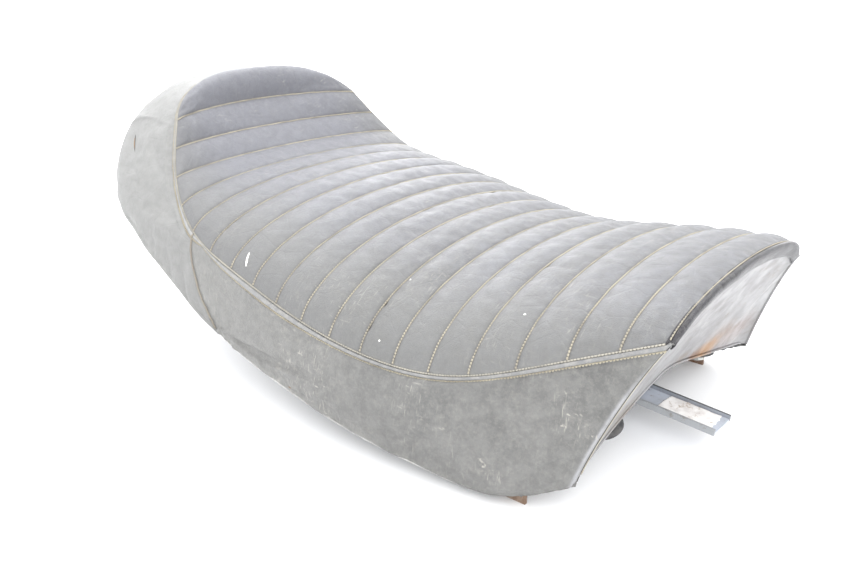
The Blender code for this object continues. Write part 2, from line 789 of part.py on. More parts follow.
def build():
    for old in list(bpy.data.objects):
        bpy.data.objects.remove(old)

    vinyl_top = material("vinyl_ribbed", (0.035, 0.036, 0.042), 0.45)
    vinyl_side = material("vinyl_side", (0.045, 0.046, 0.050), 0.5)
    vinyl_tail = material("vinyl_tail", (0.055, 0.056, 0.060), 0.5)
    trim = material("vinyl_trim", (0.03, 0.028, 0.032), 0.55)
    foam = material("foam", (0.62, 0.50, 0.26), 0.95)
    cream = material("pan_paint", (0.68, 0.66, 0.60), 0.45)
    channel = material("channel_steel", (0.10, 0.12, 0.15), 0.4, 0.8)
    bracket = material("bracket_steel", (0.14, 0.13, 0.12), 0.5, 0.8)
    rusty = material("rusty_steel", (0.23, 0.13, 0.08), 0.8, 0.4)
    zinc = material("zinc", (0.55, 0.55, 0.52), 0.4, 0.9)
    rubber = material("rubber", (0.02, 0.02, 0.02), 0.75)
    paper = material("label_paper", (0.80, 0.79, 0.76), 0.7)

    saddle_rows = [FOAM_FRONT_ROW] + side_rows()[1:] + [TAIL_ROW, 14.0, HUMP_ROW - 0.03]
    hump_rows = [HUMP_ROW + 0.03] + [row for row in tail_rows() if row > HUMP_ROW]
    foam_block("foam_saddle", saddle_rows, foam)
    foam_block("foam_hump", hump_rows, foam)
    cover_top_panel(vinyl_top)
    cover_side("cover_side_right", -1, vinyl_side)
    cover_side("cover_side_left", 1, vinyl_side)
    cover_tail_panel(vinyl_tail)
    front_trim(trim)

    seat_pan(cream)
    lip_rubber("lip_rubber_right", -1, rubber)
    lip_rubber("lip_rubber_left", 1, rubber)
    strip_rows = [row for row in side_rows() if row >= 2.5] + [TAIL_ROW - 0.06]
    behind = [TAIL_ROW + 0.06] + tail_rows()
    clamp_strip("clamp_strip_right", [(row, -1) for row in strip_rows], zinc)
    clamp_strip("clamp_strip_left", [(row, 1) for row in strip_rows], zinc)
    round_tail = [(row, -1) for row in behind] + [(ROW_END, -1)] + [(row, 1) for row in reversed(behind)]
    clamp_strip("clamp_strip_tail", round_tail, zinc)
    clamp_rivets("clamp_rivet_right", -1, zinc)
    clamp_rivets("clamp_rivet_left", 1, zinc)

    tongue_channel(channel)
    blank_label(paper)
    tongue_riser(bracket)
    tongue_fasteners(zinc, zinc)
    rear_stay(bracket)
    stay_fasteners(zinc, zinc)
    side_tab("side_tab_right", -1, rusty)
    side_tab("side_tab_left", 1, rusty)
    tab_rivets("tab_rivet_right", -1, zinc)
    tab_rivets("tab_rivet_left", 1, zinc)

    for place, (x, y, height) in BUFFERS.items():
        for side, sign in (("right", -1), ("left", 1)):
            rubber_buffer(f"buffer_{place}_{side}", x, y * sign, height, rubber)
            buffer_screw(f"buffer_screw_{place}_{side}", x, y * sign, height, zinc)


build()
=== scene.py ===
"""Looks of a motorcycle seat: pleated vinyl saddle with a hump, steel pan, tongue and fittings."""

import json

import bmesh
import bpy
import numpy as np
from math import cos, pi, radians, sin
from mathutils import Matrix, Vector

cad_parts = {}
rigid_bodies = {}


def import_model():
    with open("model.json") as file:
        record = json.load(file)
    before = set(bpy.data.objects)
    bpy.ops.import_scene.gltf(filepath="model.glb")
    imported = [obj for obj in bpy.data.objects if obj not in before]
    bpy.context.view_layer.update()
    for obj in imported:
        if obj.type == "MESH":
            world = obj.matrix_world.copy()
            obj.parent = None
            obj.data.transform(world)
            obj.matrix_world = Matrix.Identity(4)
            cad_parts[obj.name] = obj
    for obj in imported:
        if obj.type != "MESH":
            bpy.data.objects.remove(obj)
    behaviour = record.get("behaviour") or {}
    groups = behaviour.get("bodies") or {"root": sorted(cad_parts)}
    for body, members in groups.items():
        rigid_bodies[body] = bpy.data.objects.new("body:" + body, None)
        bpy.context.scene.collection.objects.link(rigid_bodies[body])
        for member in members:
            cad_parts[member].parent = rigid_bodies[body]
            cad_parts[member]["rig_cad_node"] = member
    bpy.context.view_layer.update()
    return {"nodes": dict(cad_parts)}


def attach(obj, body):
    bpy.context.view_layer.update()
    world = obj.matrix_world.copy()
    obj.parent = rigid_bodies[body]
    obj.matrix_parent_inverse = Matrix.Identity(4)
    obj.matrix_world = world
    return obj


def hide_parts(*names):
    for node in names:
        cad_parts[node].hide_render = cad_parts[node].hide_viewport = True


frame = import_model()
nodes = frame["nodes"]

# ---------------- sizes, in metres

# A row is one pleat: 0 at the nose, 18 at the foot of the crest panel and 20 at the crest.
ROWS = (0, 3, 6, 9, 12, 14, 16, 18)
SEAM_ROWS = (0, 2, 4, 6, 9, 12, 14, 16, 18)
SEAM_X = (0.293, 0.235, 0.172, 0.112, 0.026, -0.056, -0.113, -0.160, -0.190)
SEAM_HALF = (0.112, 0.1365, 0.1555, 0.1640, 0.1700, 0.1680, 0.1600, 0.1395, 0.112)
SEAM_Z = (0.131, 0.1095, 0.0860, 0.0780, 0.0900, 0.1120, 0.1300, 0.1650, 0.208)
CROWN_X = (0.298, 0.203, 0.114, 0.030, -0.052, -0.110, -0.168, -0.212)
CROWN_Z = (0.160, 0.150, 0.141, 0.149, 0.159, 0.1635, 0.172, 0.212)
CROWN_ARC = radians(80)
CROWN_FULLNESS = 1.25
CROWN_FULLNESS_RIGHT = 1.10    # the foam has gone flatter on the right shoulder
RIBS = 18
ROW_END = 20.0
BOW_START = 10                 # from this row the pleats start to bow
BOW_LENGTH = 4
CREST = np.array([-0.226, 0.0, 0.240])
CREST_HANDLE = 0.078
CREST_HANDLE_LEFT = 0.090      # the hump is a little fuller on its left
CREST_RISE = np.array([-0.0041, -0.0033, 0.0061])

# the covers' lower edge and the arch of the underside
EDGE_ROWS = (0, 2, 5, 9, 11.5, 13.5)
EDGE_ROW_X = (0.251, 0.197, 0.102, -0.008, -0.050, -0.070)
TAIL_ROW = 13.5
TAIL_START = -0.070
TAIL_END = -0.302
TAIL_HALF = 0.174
TAIL_SQUARENESS = 3.0
HALF_X = (-0.070, -0.008, 0.050, 0.110, 0.164, 0.197, 0.226, 0.251)
HALF_Y = (0.174, 0.180, 0.181, 0.177, 0.169, 0.162, 0.154, 0.144)
EDGE_X = (-0.302, -0.240, -0.190, -0.130, -0.070, -0.008, 0.102, 0.160, 0.197, 0.226, 0.251)
EDGE_Z = (0.139, 0.133, 0.115, 0.085, 0.056, 0.042, 0.021, 0.013, 0.0095, 0.017, 0.029)
ARCH_X = (-0.302, -0.240, -0.130, -0.008, 0.102, 0.197, 0.251)
ARCH_RISE = (0.0, 0.008, 0.014, 0.022, 0.036, 0.046, 0.034)
ARCH_POWER = 1.6
SKIRT_ROWS = (0, 4, 9, 13.5, 16, 18, 20)
SKIRT_ROUND = (1.15, 1.35, 1.4, 1.5, 3.2, 4.2, 4.2)

PLEAT = 0.0040                 # height of a pleat over its stitched channel
LAST_PLEAT = 0.0050            # the wider panel at the crest
VINYL = 0.0013                 # thickness of the covers
PAN_LIFT = 0.0023              # the pan lies this far above the covers' lower edge
PAN_INSET = 0.0034             # and this far inside it
THREAD = 0.00048               # radius of the sewing thread
RIB_PITCH = 0.0022             # length of a stitch
SEAM_PITCH = 0.0022
ROLL = 0.0046                  # radius of the right cover's rolled front edge
ROLL_START = 0.0010            # and that edge's radius at the seam
NOSE_DROP = 0.0026             # how far the front edge rolls down
SEAM_SLANT = 0.42              # rows by which the side and tail seam leans back at its top
FRONT_LENGTH = 0.115           # length of a side cover's front edge, from seam to hem
ROW_LENGTH = 0.031             # metres along the seat for one row, and across it for one column
COLUMN_LENGTH = 0.19
STRIP_STEPS = np.linspace(0, 0.0095, 20)    # distances below the seam of a cover's first columns
LOOSE_FROM = 18                # the first of those columns that is let go as cloth
# depth and lift of the hem's columns
HEM_STEPS = ((0.0004, -0.0002), (0.0012, -0.0004), (0.003, -0.0003), (0.006, 0), (0.009, 0))
CLOTH_FRAMES = 20
SEAT_MIDDLE = np.array([0.0, 0.0, 0.05])
TONGUE_TIP = (0.290, 0.0, 0.0238)
TONGUE_SLOPE = radians(4.5)
BUFFER_RADIUS = 0.013
# x, y and height of the buffers on the left
BUFFERS = {"front": (0.233, 0.079, 0.012), "middle": (0.055, 0.120, 0.018), "rear": (-0.135, 0.105, 0.018)}

# folds in the saddle: from and to as (row, column), depth and width
FOLDS = [
    ((7.20, -0.637), (6.80, -0.743), 0.0012, 0.0020),
    ((6.80, -0.743), (7.00, -0.877), 0.0012, 0.0020),
    ((7.3, -0.55), (7.9, -0.60), 0.0008, 0.0020),
    ((4.40, -0.287), (3.02, -0.347), 0.0009, 0.0026),
    ((8.52, 0.217), (7.84, 0.203), 0.0011, 0.0018),
    ((9.4, 0.20), (8.5, 0.34), 0.0008, 0.0026),
    ((2.6, -0.78), (2.2, -0.92), 0.0006, 0.0020),
]

CAMERA_AT = (0.4941, -0.5865, 0.3521)
CAMERA_HEADING = radians(39.485)
CAMERA_DOWN = radians(20.572)
CAMERA_ROLL = radians(0.431)
CAMERA_LENS = 37.61

# ---------------- the seat's surface


def spline(knots, values, at):
    """Natural cubic spline through (knots, values)."""
    knots = np.asarray(knots, float)
    values = np.asarray(values, float)
    count = len(knots)
    step = np.diff(knots)
    matrix = np.eye(count)
    right = np.zeros(count)
    for i in range(1, count - 1):
        matrix[i, i - 1:i + 2] = step[i - 1], 2 * (step[i - 1] + step[i]), step[i]
        right[i] = 6 * ((values[i + 1] - values[i]) / step[i] - (values[i] - values[i - 1]) / step[i - 1])
    bend = np.linalg.solve(matrix, right)
    at = np.asarray(at, float)
    i = np.clip(np.searchsorted(knots, at, side="right") - 1, 0, count - 2)
    t = at - knots[i]
    h = step[i]
    slope = (values[i + 1] - values[i]) / h - h * (2 * bend[i] + bend[i + 1]) / 6
    return values[i] + t * slope + t**2 * bend[i] / 2 + t**3 * (bend[i + 1] - bend[i]) / (6 * h)


def together(a, b):
    return np.broadcast_arrays(np.asarray(a, float), np.asarray(b, float))


def seam(row, side):
    """Seam between the top panel and the sides, as its left half."""
    row, side = together(row, side)
    low = np.minimum(row, RIBS)
    edge = np.stack([spline(SEAM_ROWS, v, low) for v in (SEAM_X, SEAM_HALF, SEAM_Z)], -1)
    s = np.clip((row - RIBS) / (ROW_END - RIBS), 0, 1)[..., None]
    rise = edge + CREST_RISE
    handle = np.where(side > 0, CREST_HANDLE_LEFT, CREST_HANDLE)
    broad = CREST + handle[..., None] * np.array([0, 1.0, 0])
    over = (1 - s)**3 * edge + 3 * (1 - s)**2 * s * rise + 3 * (1 - s) * s**2 * broad + s**3 * CREST
    return np.where(s > 0, over, edge)


def lower_edge(row):
    """Lower edge of the covers, as its left half."""
    row = np.asarray(row, float)
    low = np.minimum(row, TAIL_ROW)
    x = spline(EDGE_ROWS, EDGE_ROW_X, low)
    y = spline(HALF_X, HALF_Y, x)
    turn = np.clip((row - TAIL_ROW) / (ROW_END - TAIL_ROW), 0, 1) * pi / 2
    power = 2 / TAIL_SQUARENESS
    x_tail = TAIL_START + (TAIL_END - TAIL_START) * np.sin(turn)**power
    y_tail = TAIL_HALF * np.maximum(np.cos(turn), 0)**power
    tail = row > TAIL_ROW
    x = np.where(tail, x_tail, x)
    y = np.where(tail, y_tail, y)
    return np.stack([x, y, spline(EDGE_X, EDGE_Z, x)], -1)


def half_width(x):
    """Half the width of the lower edge at x."""
    part = np.clip((TAIL_START - x) / (TAIL_START - TAIL_END), 0, 1)
    tail = TAIL_HALF * (1 - part**TAIL_SQUARENESS)**(1 / TAIL_SQUARENESS)
    return np.where(x >= TAIL_START, spline(HALF_X, HALF_Y, np.maximum(x, TAIL_START)), tail)


def under(x, y):
    """Height of the arched underside."""
    half = np.maximum(half_width(x), 0.004)
    share = np.minimum(np.abs(y) / half, 1)
    return spline(EDGE_X, EDGE_Z, x) + spline(ARCH_X, ARCH_RISE, x) * (1 - share**ARCH_POWER)


def skin(row, column):
    """Points of the cover: column -2 right edge, -1 right seam, 0 middle, 1 left seam, 2 left edge."""
    row, column = together(row, column)
    edge = seam(row, np.sign(column))
    angle = np.clip(column, -1, 1) * CROWN_ARC
    fullness = np.where(column < 0, CROWN_FULLNESS_RIGHT, CROWN_FULLNESS)
    height = np.maximum((np.cos(angle) - cos(CROWN_ARC)) / (1 - cos(CROWN_ARC)), 0)**(1 / fullness)
    share = np.sin(angle) / sin(CROWN_ARC)
    bow = np.clip((row - BOW_START) / BOW_LENGTH, 0, 1)
    reach = height + (1 - share**2 - height) * bow
    low = np.minimum(row, RIBS)
    x = spline(ROWS, CROWN_X, low)
    z = spline(ROWS, CROWN_Z, low)
    turn = np.clip((row - RIBS) / (ROW_END - RIBS), 0, 1) * pi / 2
    x = x + (CREST[0] - x) * (1 - np.cos(turn))
    z = z + (CREST[2] - z) * np.sin(turn)
    top = np.stack([edge[..., 0] + (x - edge[..., 0]) * reach, edge[..., 1] * share,
                    edge[..., 2] + (z - edge[..., 2]) * height], -1)
    base = lower_edge(row)
    angle = np.clip(2 - np.abs(column), 0, 1) * pi / 2
    power = 2 / spline(SKIRT_ROWS, SKIRT_ROUND, row)
    out = np.maximum(np.cos(angle), 0)**power
    up = np.sin(angle)**power
    skirt = np.stack([edge[..., 0] + (base[..., 0] - edge[..., 0]) * out,
                      (edge[..., 1] + (base[..., 1] - edge[..., 1]) * out) * np.sign(column),
                      base[..., 2] + (edge[..., 2] - base[..., 2]) * up], -1)
    return np.where((np.abs(column) <= 1)[..., None], top, skirt)


def unit(vectors):
    return vectors / np.maximum(np.linalg.norm(vectors, axis=-1, keepdims=True), 1e-12)


def square_to(vectors, axis):
    """Unit vectors with their part along the axis taken out."""
    return unit(vectors - axis * (vectors * axis).sum(-1, keepdims=True))


def edge_inward(row):
    """Level unit vectors from the lower edge to the inside."""
    ahead = lower_edge(np.minimum(row + 0.03, ROW_END - 0.005))
    back = ahead - lower_edge(np.maximum(row - 0.03, 0))
    return unit(np.stack([-back[..., 1], back[..., 0], 0 * back[..., 0]], -1))


def skin_normal(row, column, bound=2.0):
    """Outward unit normals, measured between columns that stay within the bound."""
    row, column = together(row, column)
    row = np.minimum(row, ROW_END - 0.05)
    along = skin(row + 0.03, column) - skin(np.maximum(row - 0.03, 0), column)
    across = skin(row, np.minimum(column + 0.01, bound)) - skin(row, np.maximum(column - 0.01, -bound))
    return unit(np.cross(across, along))


def raised(row, column, height, bound=2.0):
    """Points of the cover moved outward by a height."""
    return skin(row, column) + skin_normal(row, column, bound) * np.asarray(height)[..., None]


def bell(distance, width):
    return np.exp(-(distance / width)**2)


def turns(count):
    return np.linspace(0, 2 * pi, count, endpoint=False)


def crossed(rows, columns):
    return np.meshgrid(rows, columns, indexing="ij")


def waves(seed, u, v, count=6):
    """Smooth seeded noise of about -1 to 1 over two coordinates."""
    random = np.random.default_rng(seed)
    total = np.zeros(np.broadcast(u, v).shape)
    for _ in range(count):
        a, b, phase = random.uniform(-1, 1), random.uniform(-1, 1), random.uniform(0, 2 * pi)
        total = total + np.sin(2 * pi * (a * u + b * v) + phase)
    return total / count * 1.6


# ---------------- making meshes


def mesh_object(name, points, faces, finish, smooth=True, closed=False):
    """A mesh in the scene; the faces of a closed one are turned outward."""
    mesh = bpy.data.meshes.new(name)
    mesh.from_pydata(np.asarray(points).reshape(-1, 3).tolist(), [], [tuple(f) for f in faces])
    if finish:
        mesh.materials.append(finish)
    mesh.validate()
    if closed:
        shape = bmesh.new()
        shape.from_mesh(mesh)
        bmesh.ops.recalc_face_normals(shape, faces=shape.faces)
        shape.to_mesh(mesh)
        shape.free()
    if smooth:
        mesh.shade_smooth()
    made = bpy.data.objects.new(name, mesh)
    bpy.context.scene.collection.objects.link(made)
    return made


def grid_faces(rows, columns, flip=False, wrap=False):
    i, j = crossed(np.arange(rows - 1), np.arange(columns if wrap else columns - 1))
    k = (j + 1) % columns
    quads = np.stack([i * columns + j, i * columns + k, (i + 1) * columns + k, (i + 1) * columns + j], -1)
    quads = quads.reshape(-1, 4)
    return quads[:, ::-1] if flip else quads


def sheet_object(name, grid, finish, thickness, flip=False):
    """A grid of points given thickness on its inner side."""
    made = mesh_object(name, grid, grid_faces(*grid.shape[:2], flip=flip), finish)
    solid = made.modifiers.new("thickness", "SOLIDIFY")
    solid.thickness = thickness
    solid.offset = -1
    return made


def ring_object(name, rings, finish):
    """A closed body through rings of points, with a flat face at each end."""
    rows, sides = rings.shape[:2]
    faces = grid_faces(rows, sides, wrap=True).tolist()
    faces += [list(range(sides)), list(range((rows - 1) * sides, rows * sides))[::-1]]
    return mesh_object(name, rings, faces, finish, closed=True)


def tube_object(name, path, radius, across, finish, sides=10):
    """A round tube along a path; `across` are vectors roughly square to it."""
    tangent = unit(np.gradient(path, axis=0))
    first = square_to(across, tangent)
    second = np.cross(tangent, first)
    angle = turns(sides)[None, :, None]
    rings = path[:, None] + radius * (np.cos(angle) * first[:, None] + np.sin(angle) * second[:, None])
    return ring_object(name, rings, finish)


def placed(points, place):
    """Points taken from a place's own frame to the seat's."""
    return points @ np.array(place.to_3x3()).T + np.array(place.translation)


def turned_object(name, profile, place, finish):
    """A body of revolution; profile starts and ends on the axis, in (radius, height)."""
    segments = 48
    angle = turns(segments)
    points = [np.stack([r * np.cos(angle), r * np.sin(angle), np.full(segments, z)], -1) for r, z in profile]
    faces = grid_faces(len(profile), segments, wrap=True, flip=True)
    return mesh_object(name, placed(np.array(points).reshape(-1, 3), place), faces, finish)


def resampled(path, normals, pitch, start=0.0):
    """Points every `pitch` along a path, with tangents and normals."""
    length = np.concatenate([[0], np.cumsum(np.linalg.norm(np.diff(path, axis=0), axis=1))])
    at = np.arange(start + pitch / 2, length[-1] - start, pitch)

    def read(values, where):
        return np.stack([np.interp(where, length, values[:, k]) for k in range(3)], -1)

    tangents = unit(read(path, at + pitch * 0.2) - read(path, at - pitch * 0.2))
    return read(path, at), tangents, unit(read(normals, at))


def stitch_points(points, tangents, normals, pitch, radius, slant, seed):
    """One short arched thread at each point: four rings of five corners."""
    random = np.random.default_rng(seed)
    side = unit(np.cross(normals, tangents))
    tangents = unit(tangents + side * (slant + random.normal(0, 0.07, (len(points), 1))))
    side = unit(np.cross(normals, tangents))[:, None, None]
    along = np.array([-0.49, -0.26, 0.26, 0.49])[:, None] * pitch
    rise = np.array([-0.5, 0.5, 0.5, -0.5])[:, None] * radius
    thick = np.array([0.65, 1.0, 1.0, 0.65])[:, None, None] * radius
    angle = turns(5)[:, None]
    centre = points[:, None] + tangents[:, None] * along + normals[:, None] * rise
    ring = np.cos(angle) * side * thick * 1.15 + np.sin(angle) * normals[:, None, None] * thick
    return (centre[:, :, None] + ring).reshape(-1, 3)


def stitch_object(name, chunks, finish):
    """All stitches of one seam as one mesh."""
    points = np.concatenate(chunks)
    count = len(points) // 20
    one = grid_faces(4, 5, wrap=True, flip=True).tolist() + [[0, 1, 2, 3, 4], [19, 18, 17, 16, 15]]
    faces = [[20 * k + i for i in f] for k in range(count) for f in one]
    return mesh_object(name, points, faces, finish, closed=True)


def settled(grid, held, growth, pressure, most):
    """A stitched sheet let go as cloth: held points stay, and the rest swells and puckers."""
    made = mesh_object("cloth", grid, grid_faces(*grid.shape[:2]), None)
    made.vertex_groups.new(name="held").add(np.flatnonzero(held).tolist(), 1.0, "REPLACE")
    cloth = made.modifiers.new("cloth", "CLOTH")
    rules = cloth.settings
    rules.quality = 5
    rules.mass = 0.15
    rules.tension_stiffness = rules.compression_stiffness = 25
    rules.shear_stiffness = 12
    rules.bending_stiffness = 0.9
    rules.vertex_group_mass = "held"
    rules.shrink_min = -growth
    rules.use_pressure = True
    rules.uniform_pressure_force = pressure
    rules.effector_weights.gravity = 0
    cloth.collision_settings.use_collision = False
    cloth.point_cache.frame_end = CLOTH_FRAMES
    scene = bpy.context.scene
    for k in range(1, CLOTH_FRAMES + 1):
        scene.frame_set(k)
    seen = made.evaluated_get(bpy.context.evaluated_depsgraph_get())
    points = np.empty(len(seen.data.vertices) * 3)
    seen.data.vertices.foreach_get("co", points)
    bpy.data.objects.remove(made)
    scene.frame_set(1)
    move = points.reshape(grid.shape) - grid
    far = np.linalg.norm(move, axis=-1, keepdims=True)
    return move * np.minimum(1, most / np.maximum(far, 1e-9))


def spread(values, rows, columns, to_rows, to_columns):
    """Values of a coarse grid read at the rows and columns of a fine one."""
    tall = [[np.interp(to_rows, rows, values[:, j, k]) for j in range(len(columns))] for k in range(3)]
    tall = np.array(tall)
    wide = [[np.interp(to_columns, columns, tall[k, :, i]) for i in range(len(to_rows))] for k in range(3)]
    return np.stack(wide, -1)


# ---------------- materials


class Shader:
    """Short names for building a node material round one Principled BSDF."""

    def __init__(self, name):
        self.material = bpy.data.materials.new(name)
        self.material.use_nodes = True
        self.tree = self.material.node_tree
        self.main = self.tree.nodes["Principled BSDF"].inputs
        self.place = self.tree.nodes.new("ShaderNodeTexCoord").outputs["Object"]

    def feed(self, socket, value):
        """Link an output to a socket, or set a number, vector or colour on the socket itself."""
        if isinstance(value, bpy.types.NodeSocket):
            self.tree.links.new(value, socket)
        elif isinstance(value, tuple) and len(socket.default_value) == 4:
            socket.default_value = (*value, 1)
        else:
            socket.default_value = value

    def node(self, kind, sockets, **properties):
        made = self.tree.nodes.new("ShaderNode" + kind)
        for key, value in properties.items():
            setattr(made, key, value)
        for key, value in sockets.items():
            self.feed(made.inputs[key], value)
        return made.outputs

    def mapped(self, scale, turn=(0, 0, 0), shift=(0, 0, 0)):
        sockets = {"Location": shift, "Rotation": turn, "Scale": scale, "Vector": self.place}
        return self.node("Mapping", sockets)["Vector"]

    def noise(self, scale, detail=4.0, rough=0.55, at=None):
        sockets = {"Scale": scale, "Detail": detail, "Roughness": rough, "Vector": at or self.place}
        return self.node("TexNoise", sockets)["Fac"]

    def cells(self, scale, feature="DISTANCE_TO_EDGE"):
        return self.node("TexVoronoi", {"Scale": scale, "Vector": self.place}, feature=feature)["Distance"]

    def ramp(self, source, low, high, out_low=0.0, out_high=1.0):
        sockets = {"Value": source, "From Min": low, "From Max": high, "To Min": out_low, "To Max": out_high}
        return self.node("MapRange", sockets, interpolation_type="SMOOTHSTEP")["Result"]

    def math(self, operation, a, b):
        return self.node("Math", {0: a, 1: b}, operation=operation)["Value"]

    def product(self, a, b):
        return self.math("MULTIPLY", a, b)

    def mix(self, factor, a, b):
        return self.node("Mix", {0: factor, 6: a, 7: b}, data_type="RGBA")[2]

    def axis(self, name):
        return self.node("SeparateXYZ", {0: self.place})[name]

    def attribute(self, name):
        return self.node("Attribute", {}, attribute_name=name)["Fac"]

    def near(self, centre, radius, stretch):
        """1 near a point and 0 beyond the radius, with a ragged border."""
        place = self.mapped(stretch, shift=tuple(-c * k for c, k in zip(centre, stretch)))
        length = self.node("VectorMath", {0: place}, operation="LENGTH")["Value"]
        ragged = self.math("ADD", length, self.product(self.noise(90, 5, 0.7), radius * 0.9))
        return self.ramp(ragged, radius * 0.55, radius * 1.45, 1, 0)

    def patches(self, scale, detail, rough, *limits):
        """Noise with its contrast raised between two limits."""
        return self.ramp(self.noise(scale, detail, rough), *limits)

    def lines(self, scale, turn, low, high, detail=3, rough=0.5):
        """Patches drawn out into lines."""
        return self.ramp(self.noise(1, detail, rough, self.mapped(scale, turn)), low, high)

    def stained(self, base, mask, share, tint):
        return self.mix(self.product(mask, share), base, tint)

    def patchy(self, scale, detail, rough, a, b):
        return self.mix(self.patches(scale, detail, rough, 0.35, 0.7), a, b)

    def uneven_roughness(self, low, high, scale, detail=4.0, rough=0.55):
        self.set(Roughness=self.patches(scale, detail, rough, 0.3, 0.7, low, high))

    def set(self, **values):
        for key, value in values.items():
            self.feed(self.main[key.replace("_", " ")], value)

    def bump(self, layers):
        """Bump from (height, distance in metres, strength) layers, the last on top."""
        below = {}
        for height, distance, strength in layers:
            sockets = {"Height": height, "Distance": distance, "Strength": strength, **below}
            below = {"Normal": self.node("Bump", sockets)["Normal"]}
        self.set(**below)


def vinyl(name, dark, light, rear_glare, roughness, scuffs, shoulder_light_tint=None):
    """Old grained vinyl: leather grain, dust in patches, fine scratches, paler to the rear as painted haze
    and glare, with painted shade and painted sheen read from vertex attributes.
    """
    s = Shader(name)
    blotch = s.patches(13, 6, 0.65, 0.36, 0.64)
    cloud = s.patches(120, 5, 0.7, 0.36, 0.64)
    dust = s.patches(210, 6, 0.75, 0.50, 0.72)
    speck = s.patches(430, 4, 0.7, 0.46, 0.66)
    # painted light: towards the rear the colour turns to the pale third tone, a painted haze and glare on
    # the hump and tail
    rear = s.ramp(s.axis("X"), 0.16, -0.24)
    base = s.mix(s.product(s.math("ADD", blotch, cloud), 0.5), dark, light)
    pale = s.mix(cloud, tuple(c * 0.93 for c in rear_glare), tuple(c * 1.05 for c in rear_glare))
    base = s.mix(rear, base, pale)
    # painted light: the crown's shoulders take a lighter, less blue tint, where less of the bluish light
    # from above falls
    if shoulder_light_tint:
        low = s.ramp(s.math("ABSOLUTE", s.axis("Y"), 0), 0.07, 0.15)
        base = s.stained(base, low, 0.65, shoulder_light_tint)
    # painted shade: darkened along the stitched valleys beside the threads
    base = s.mix(s.attribute("dirt"), base, (0.045, 0.043, 0.042))
    # painted highlight: a pale bluish sheen where the vertex attribute asks for it, broken into patches
    rub_and_sheen_patches = s.patches(90, 5, 0.7, 0.2, 0.6, 0.5, 1)
    base = s.stained(base, s.attribute("painted_sheen"), rub_and_sheen_patches, (0.27, 0.272, 0.285))
    marks = s.math("MAXIMUM", s.lines((900, 70, 120), (0.3, 0.5, 0.9), 0.62, 0.72),
                   s.lines((80, 800, 260), (0.2, -0.4, -0.5), 0.63, 0.74))
    marks = s.math("MAXIMUM", marks, s.lines((620, 90, 90), (-0.2, 0.9, 0.4), 0.63, 0.74))
    where = s.patches(16, 4, 0.65, 0.42, 0.66)
    marks = s.product(s.product(marks, where), scuffs)
    worn = s.product(s.attribute("wear"), s.patches(260, 4, 0.7, 0.42, 0.66))
    thick = s.math("ADD", s.product(where, 0.7), 0.3)
    haze = s.product(s.product(dust, thick), 0.40 * scuffs)
    haze = s.math("ADD", haze, s.product(speck, 0.13 * scuffs))
    pale = s.math("MAXIMUM", marks, haze)
    pale = s.math("MAXIMUM", pale, s.product(worn, 0.8))
    s.set(Base_Color=s.mix(pale, base, (0.34, 0.325, 0.29)))
    rough = s.patches(70, 4, 0.6, 0.3, 0.7, roughness - 0.07, roughness + 0.07)
    s.set(Roughness=s.math("ADD", rough, s.product(pale, 0.2)))
    s.bump([(s.noise(24, 4, 0.6), 0.0016, 0.35), (s.ramp(s.cells(46), 0.0, 0.05), 0.0005, 0.25),
            (s.ramp(s.cells(780), 0.0, 0.22), 0.00024, 0.6), (s.noise(2600, 2, 0.5), 0.0001, 0.25),
            (marks, 0.0001, 0.3)])
    s.set(Specular_IOR_Level=0.32, Sheen_Weight=0.08, Sheen_Roughness=0.6)
    return s.material


def thread(name, colour, dirty):
    s = Shader(name)
    sockets = {"Scale": 900, "Vector": s.place}
    twist = s.node("TexWave", sockets, wave_type="BANDS", bands_direction="DIAGONAL")
    soil = s.patches(38, 5, 0.7, 0.38, 0.66)
    s.set(Base_Color=s.mix(s.product(soil, 0.75), colour, dirty))
    s.uneven_roughness(0.7, 0.9, 300)
    s.bump([(twist["Fac"], 0.0002, 0.6)])
    return s.material


def pan_paint():
    """Off-white enamel gone yellow, stained with rust low in the middle and along the lip."""
    s = Shader("pan_enamel")
    base = s.patchy(14, 5, 0.6, (0.238, 0.236, 0.240), (0.180, 0.177, 0.179))
    streaks = s.lines((40, 30, 120), (0.3, 0, 0), 0.46, 0.70, 6, 0.7)
    base = s.stained(base, streaks, 0.6, (0.150, 0.138, 0.130))
    for place, radius, stretch, share, tint in (
            ((0.257, 0.100, 0.058), 0.030, (0.9, 0.6, 1.2), 0.70, (0.160, 0.122, 0.112)),
            ((0.256, 0.066, 0.066), 0.022, (0.9, 0.6, 1.1), 0.60, (0.200, 0.145, 0.110)),
            ((0.250, 0.050, 0.058), 0.019, (0.9, 0.6, 1.2), 0.90, (0.250, 0.130, 0.050)),
            ((0.249, 0.034, 0.060), 0.010, (0.9, 0.6, 1.3), 0.75, (0.140, 0.078, 0.050)),
            ((0.250, 0.010, 0.066), 0.010, (0.9, 0.6, 1.2), 0.50, (0.160, 0.120, 0.085)),
            ((0.253, -0.080, 0.056), 0.022, (1, 0.6, 1), 0.50, (0.175, 0.145, 0.115))):
        base = s.stained(base, s.near(place, radius, stretch), share, tint)
    specks = s.patches(210, 6, 0.8, 0.60, 0.68)
    base = s.stained(base, specks, 0.7, (0.16, 0.09, 0.05))
    s.set(Base_Color=base)
    s.uneven_roughness(0.42, 0.68, 60, 4, 0.6)
    s.bump([(s.noise(420, 3, 0.5), 0.0002, 0.3), (specks, 0.0003, 0.5)])
    return s.material


def rim_paint():
    s = Shader("rim_enamel")
    base = s.patchy(60, 5, 0.7, (0.36, 0.34, 0.28), (0.25, 0.22, 0.17))
    rust = s.patches(45, 6, 0.75, 0.58, 0.72)
    s.set(Base_Color=s.stained(base, rust, 0.8, (0.30, 0.15, 0.06)))
    s.uneven_roughness(0.5, 0.75, 90)
    s.bump([(s.noise(500, 4, 0.6), 0.0002, 0.4)])
    return s.material


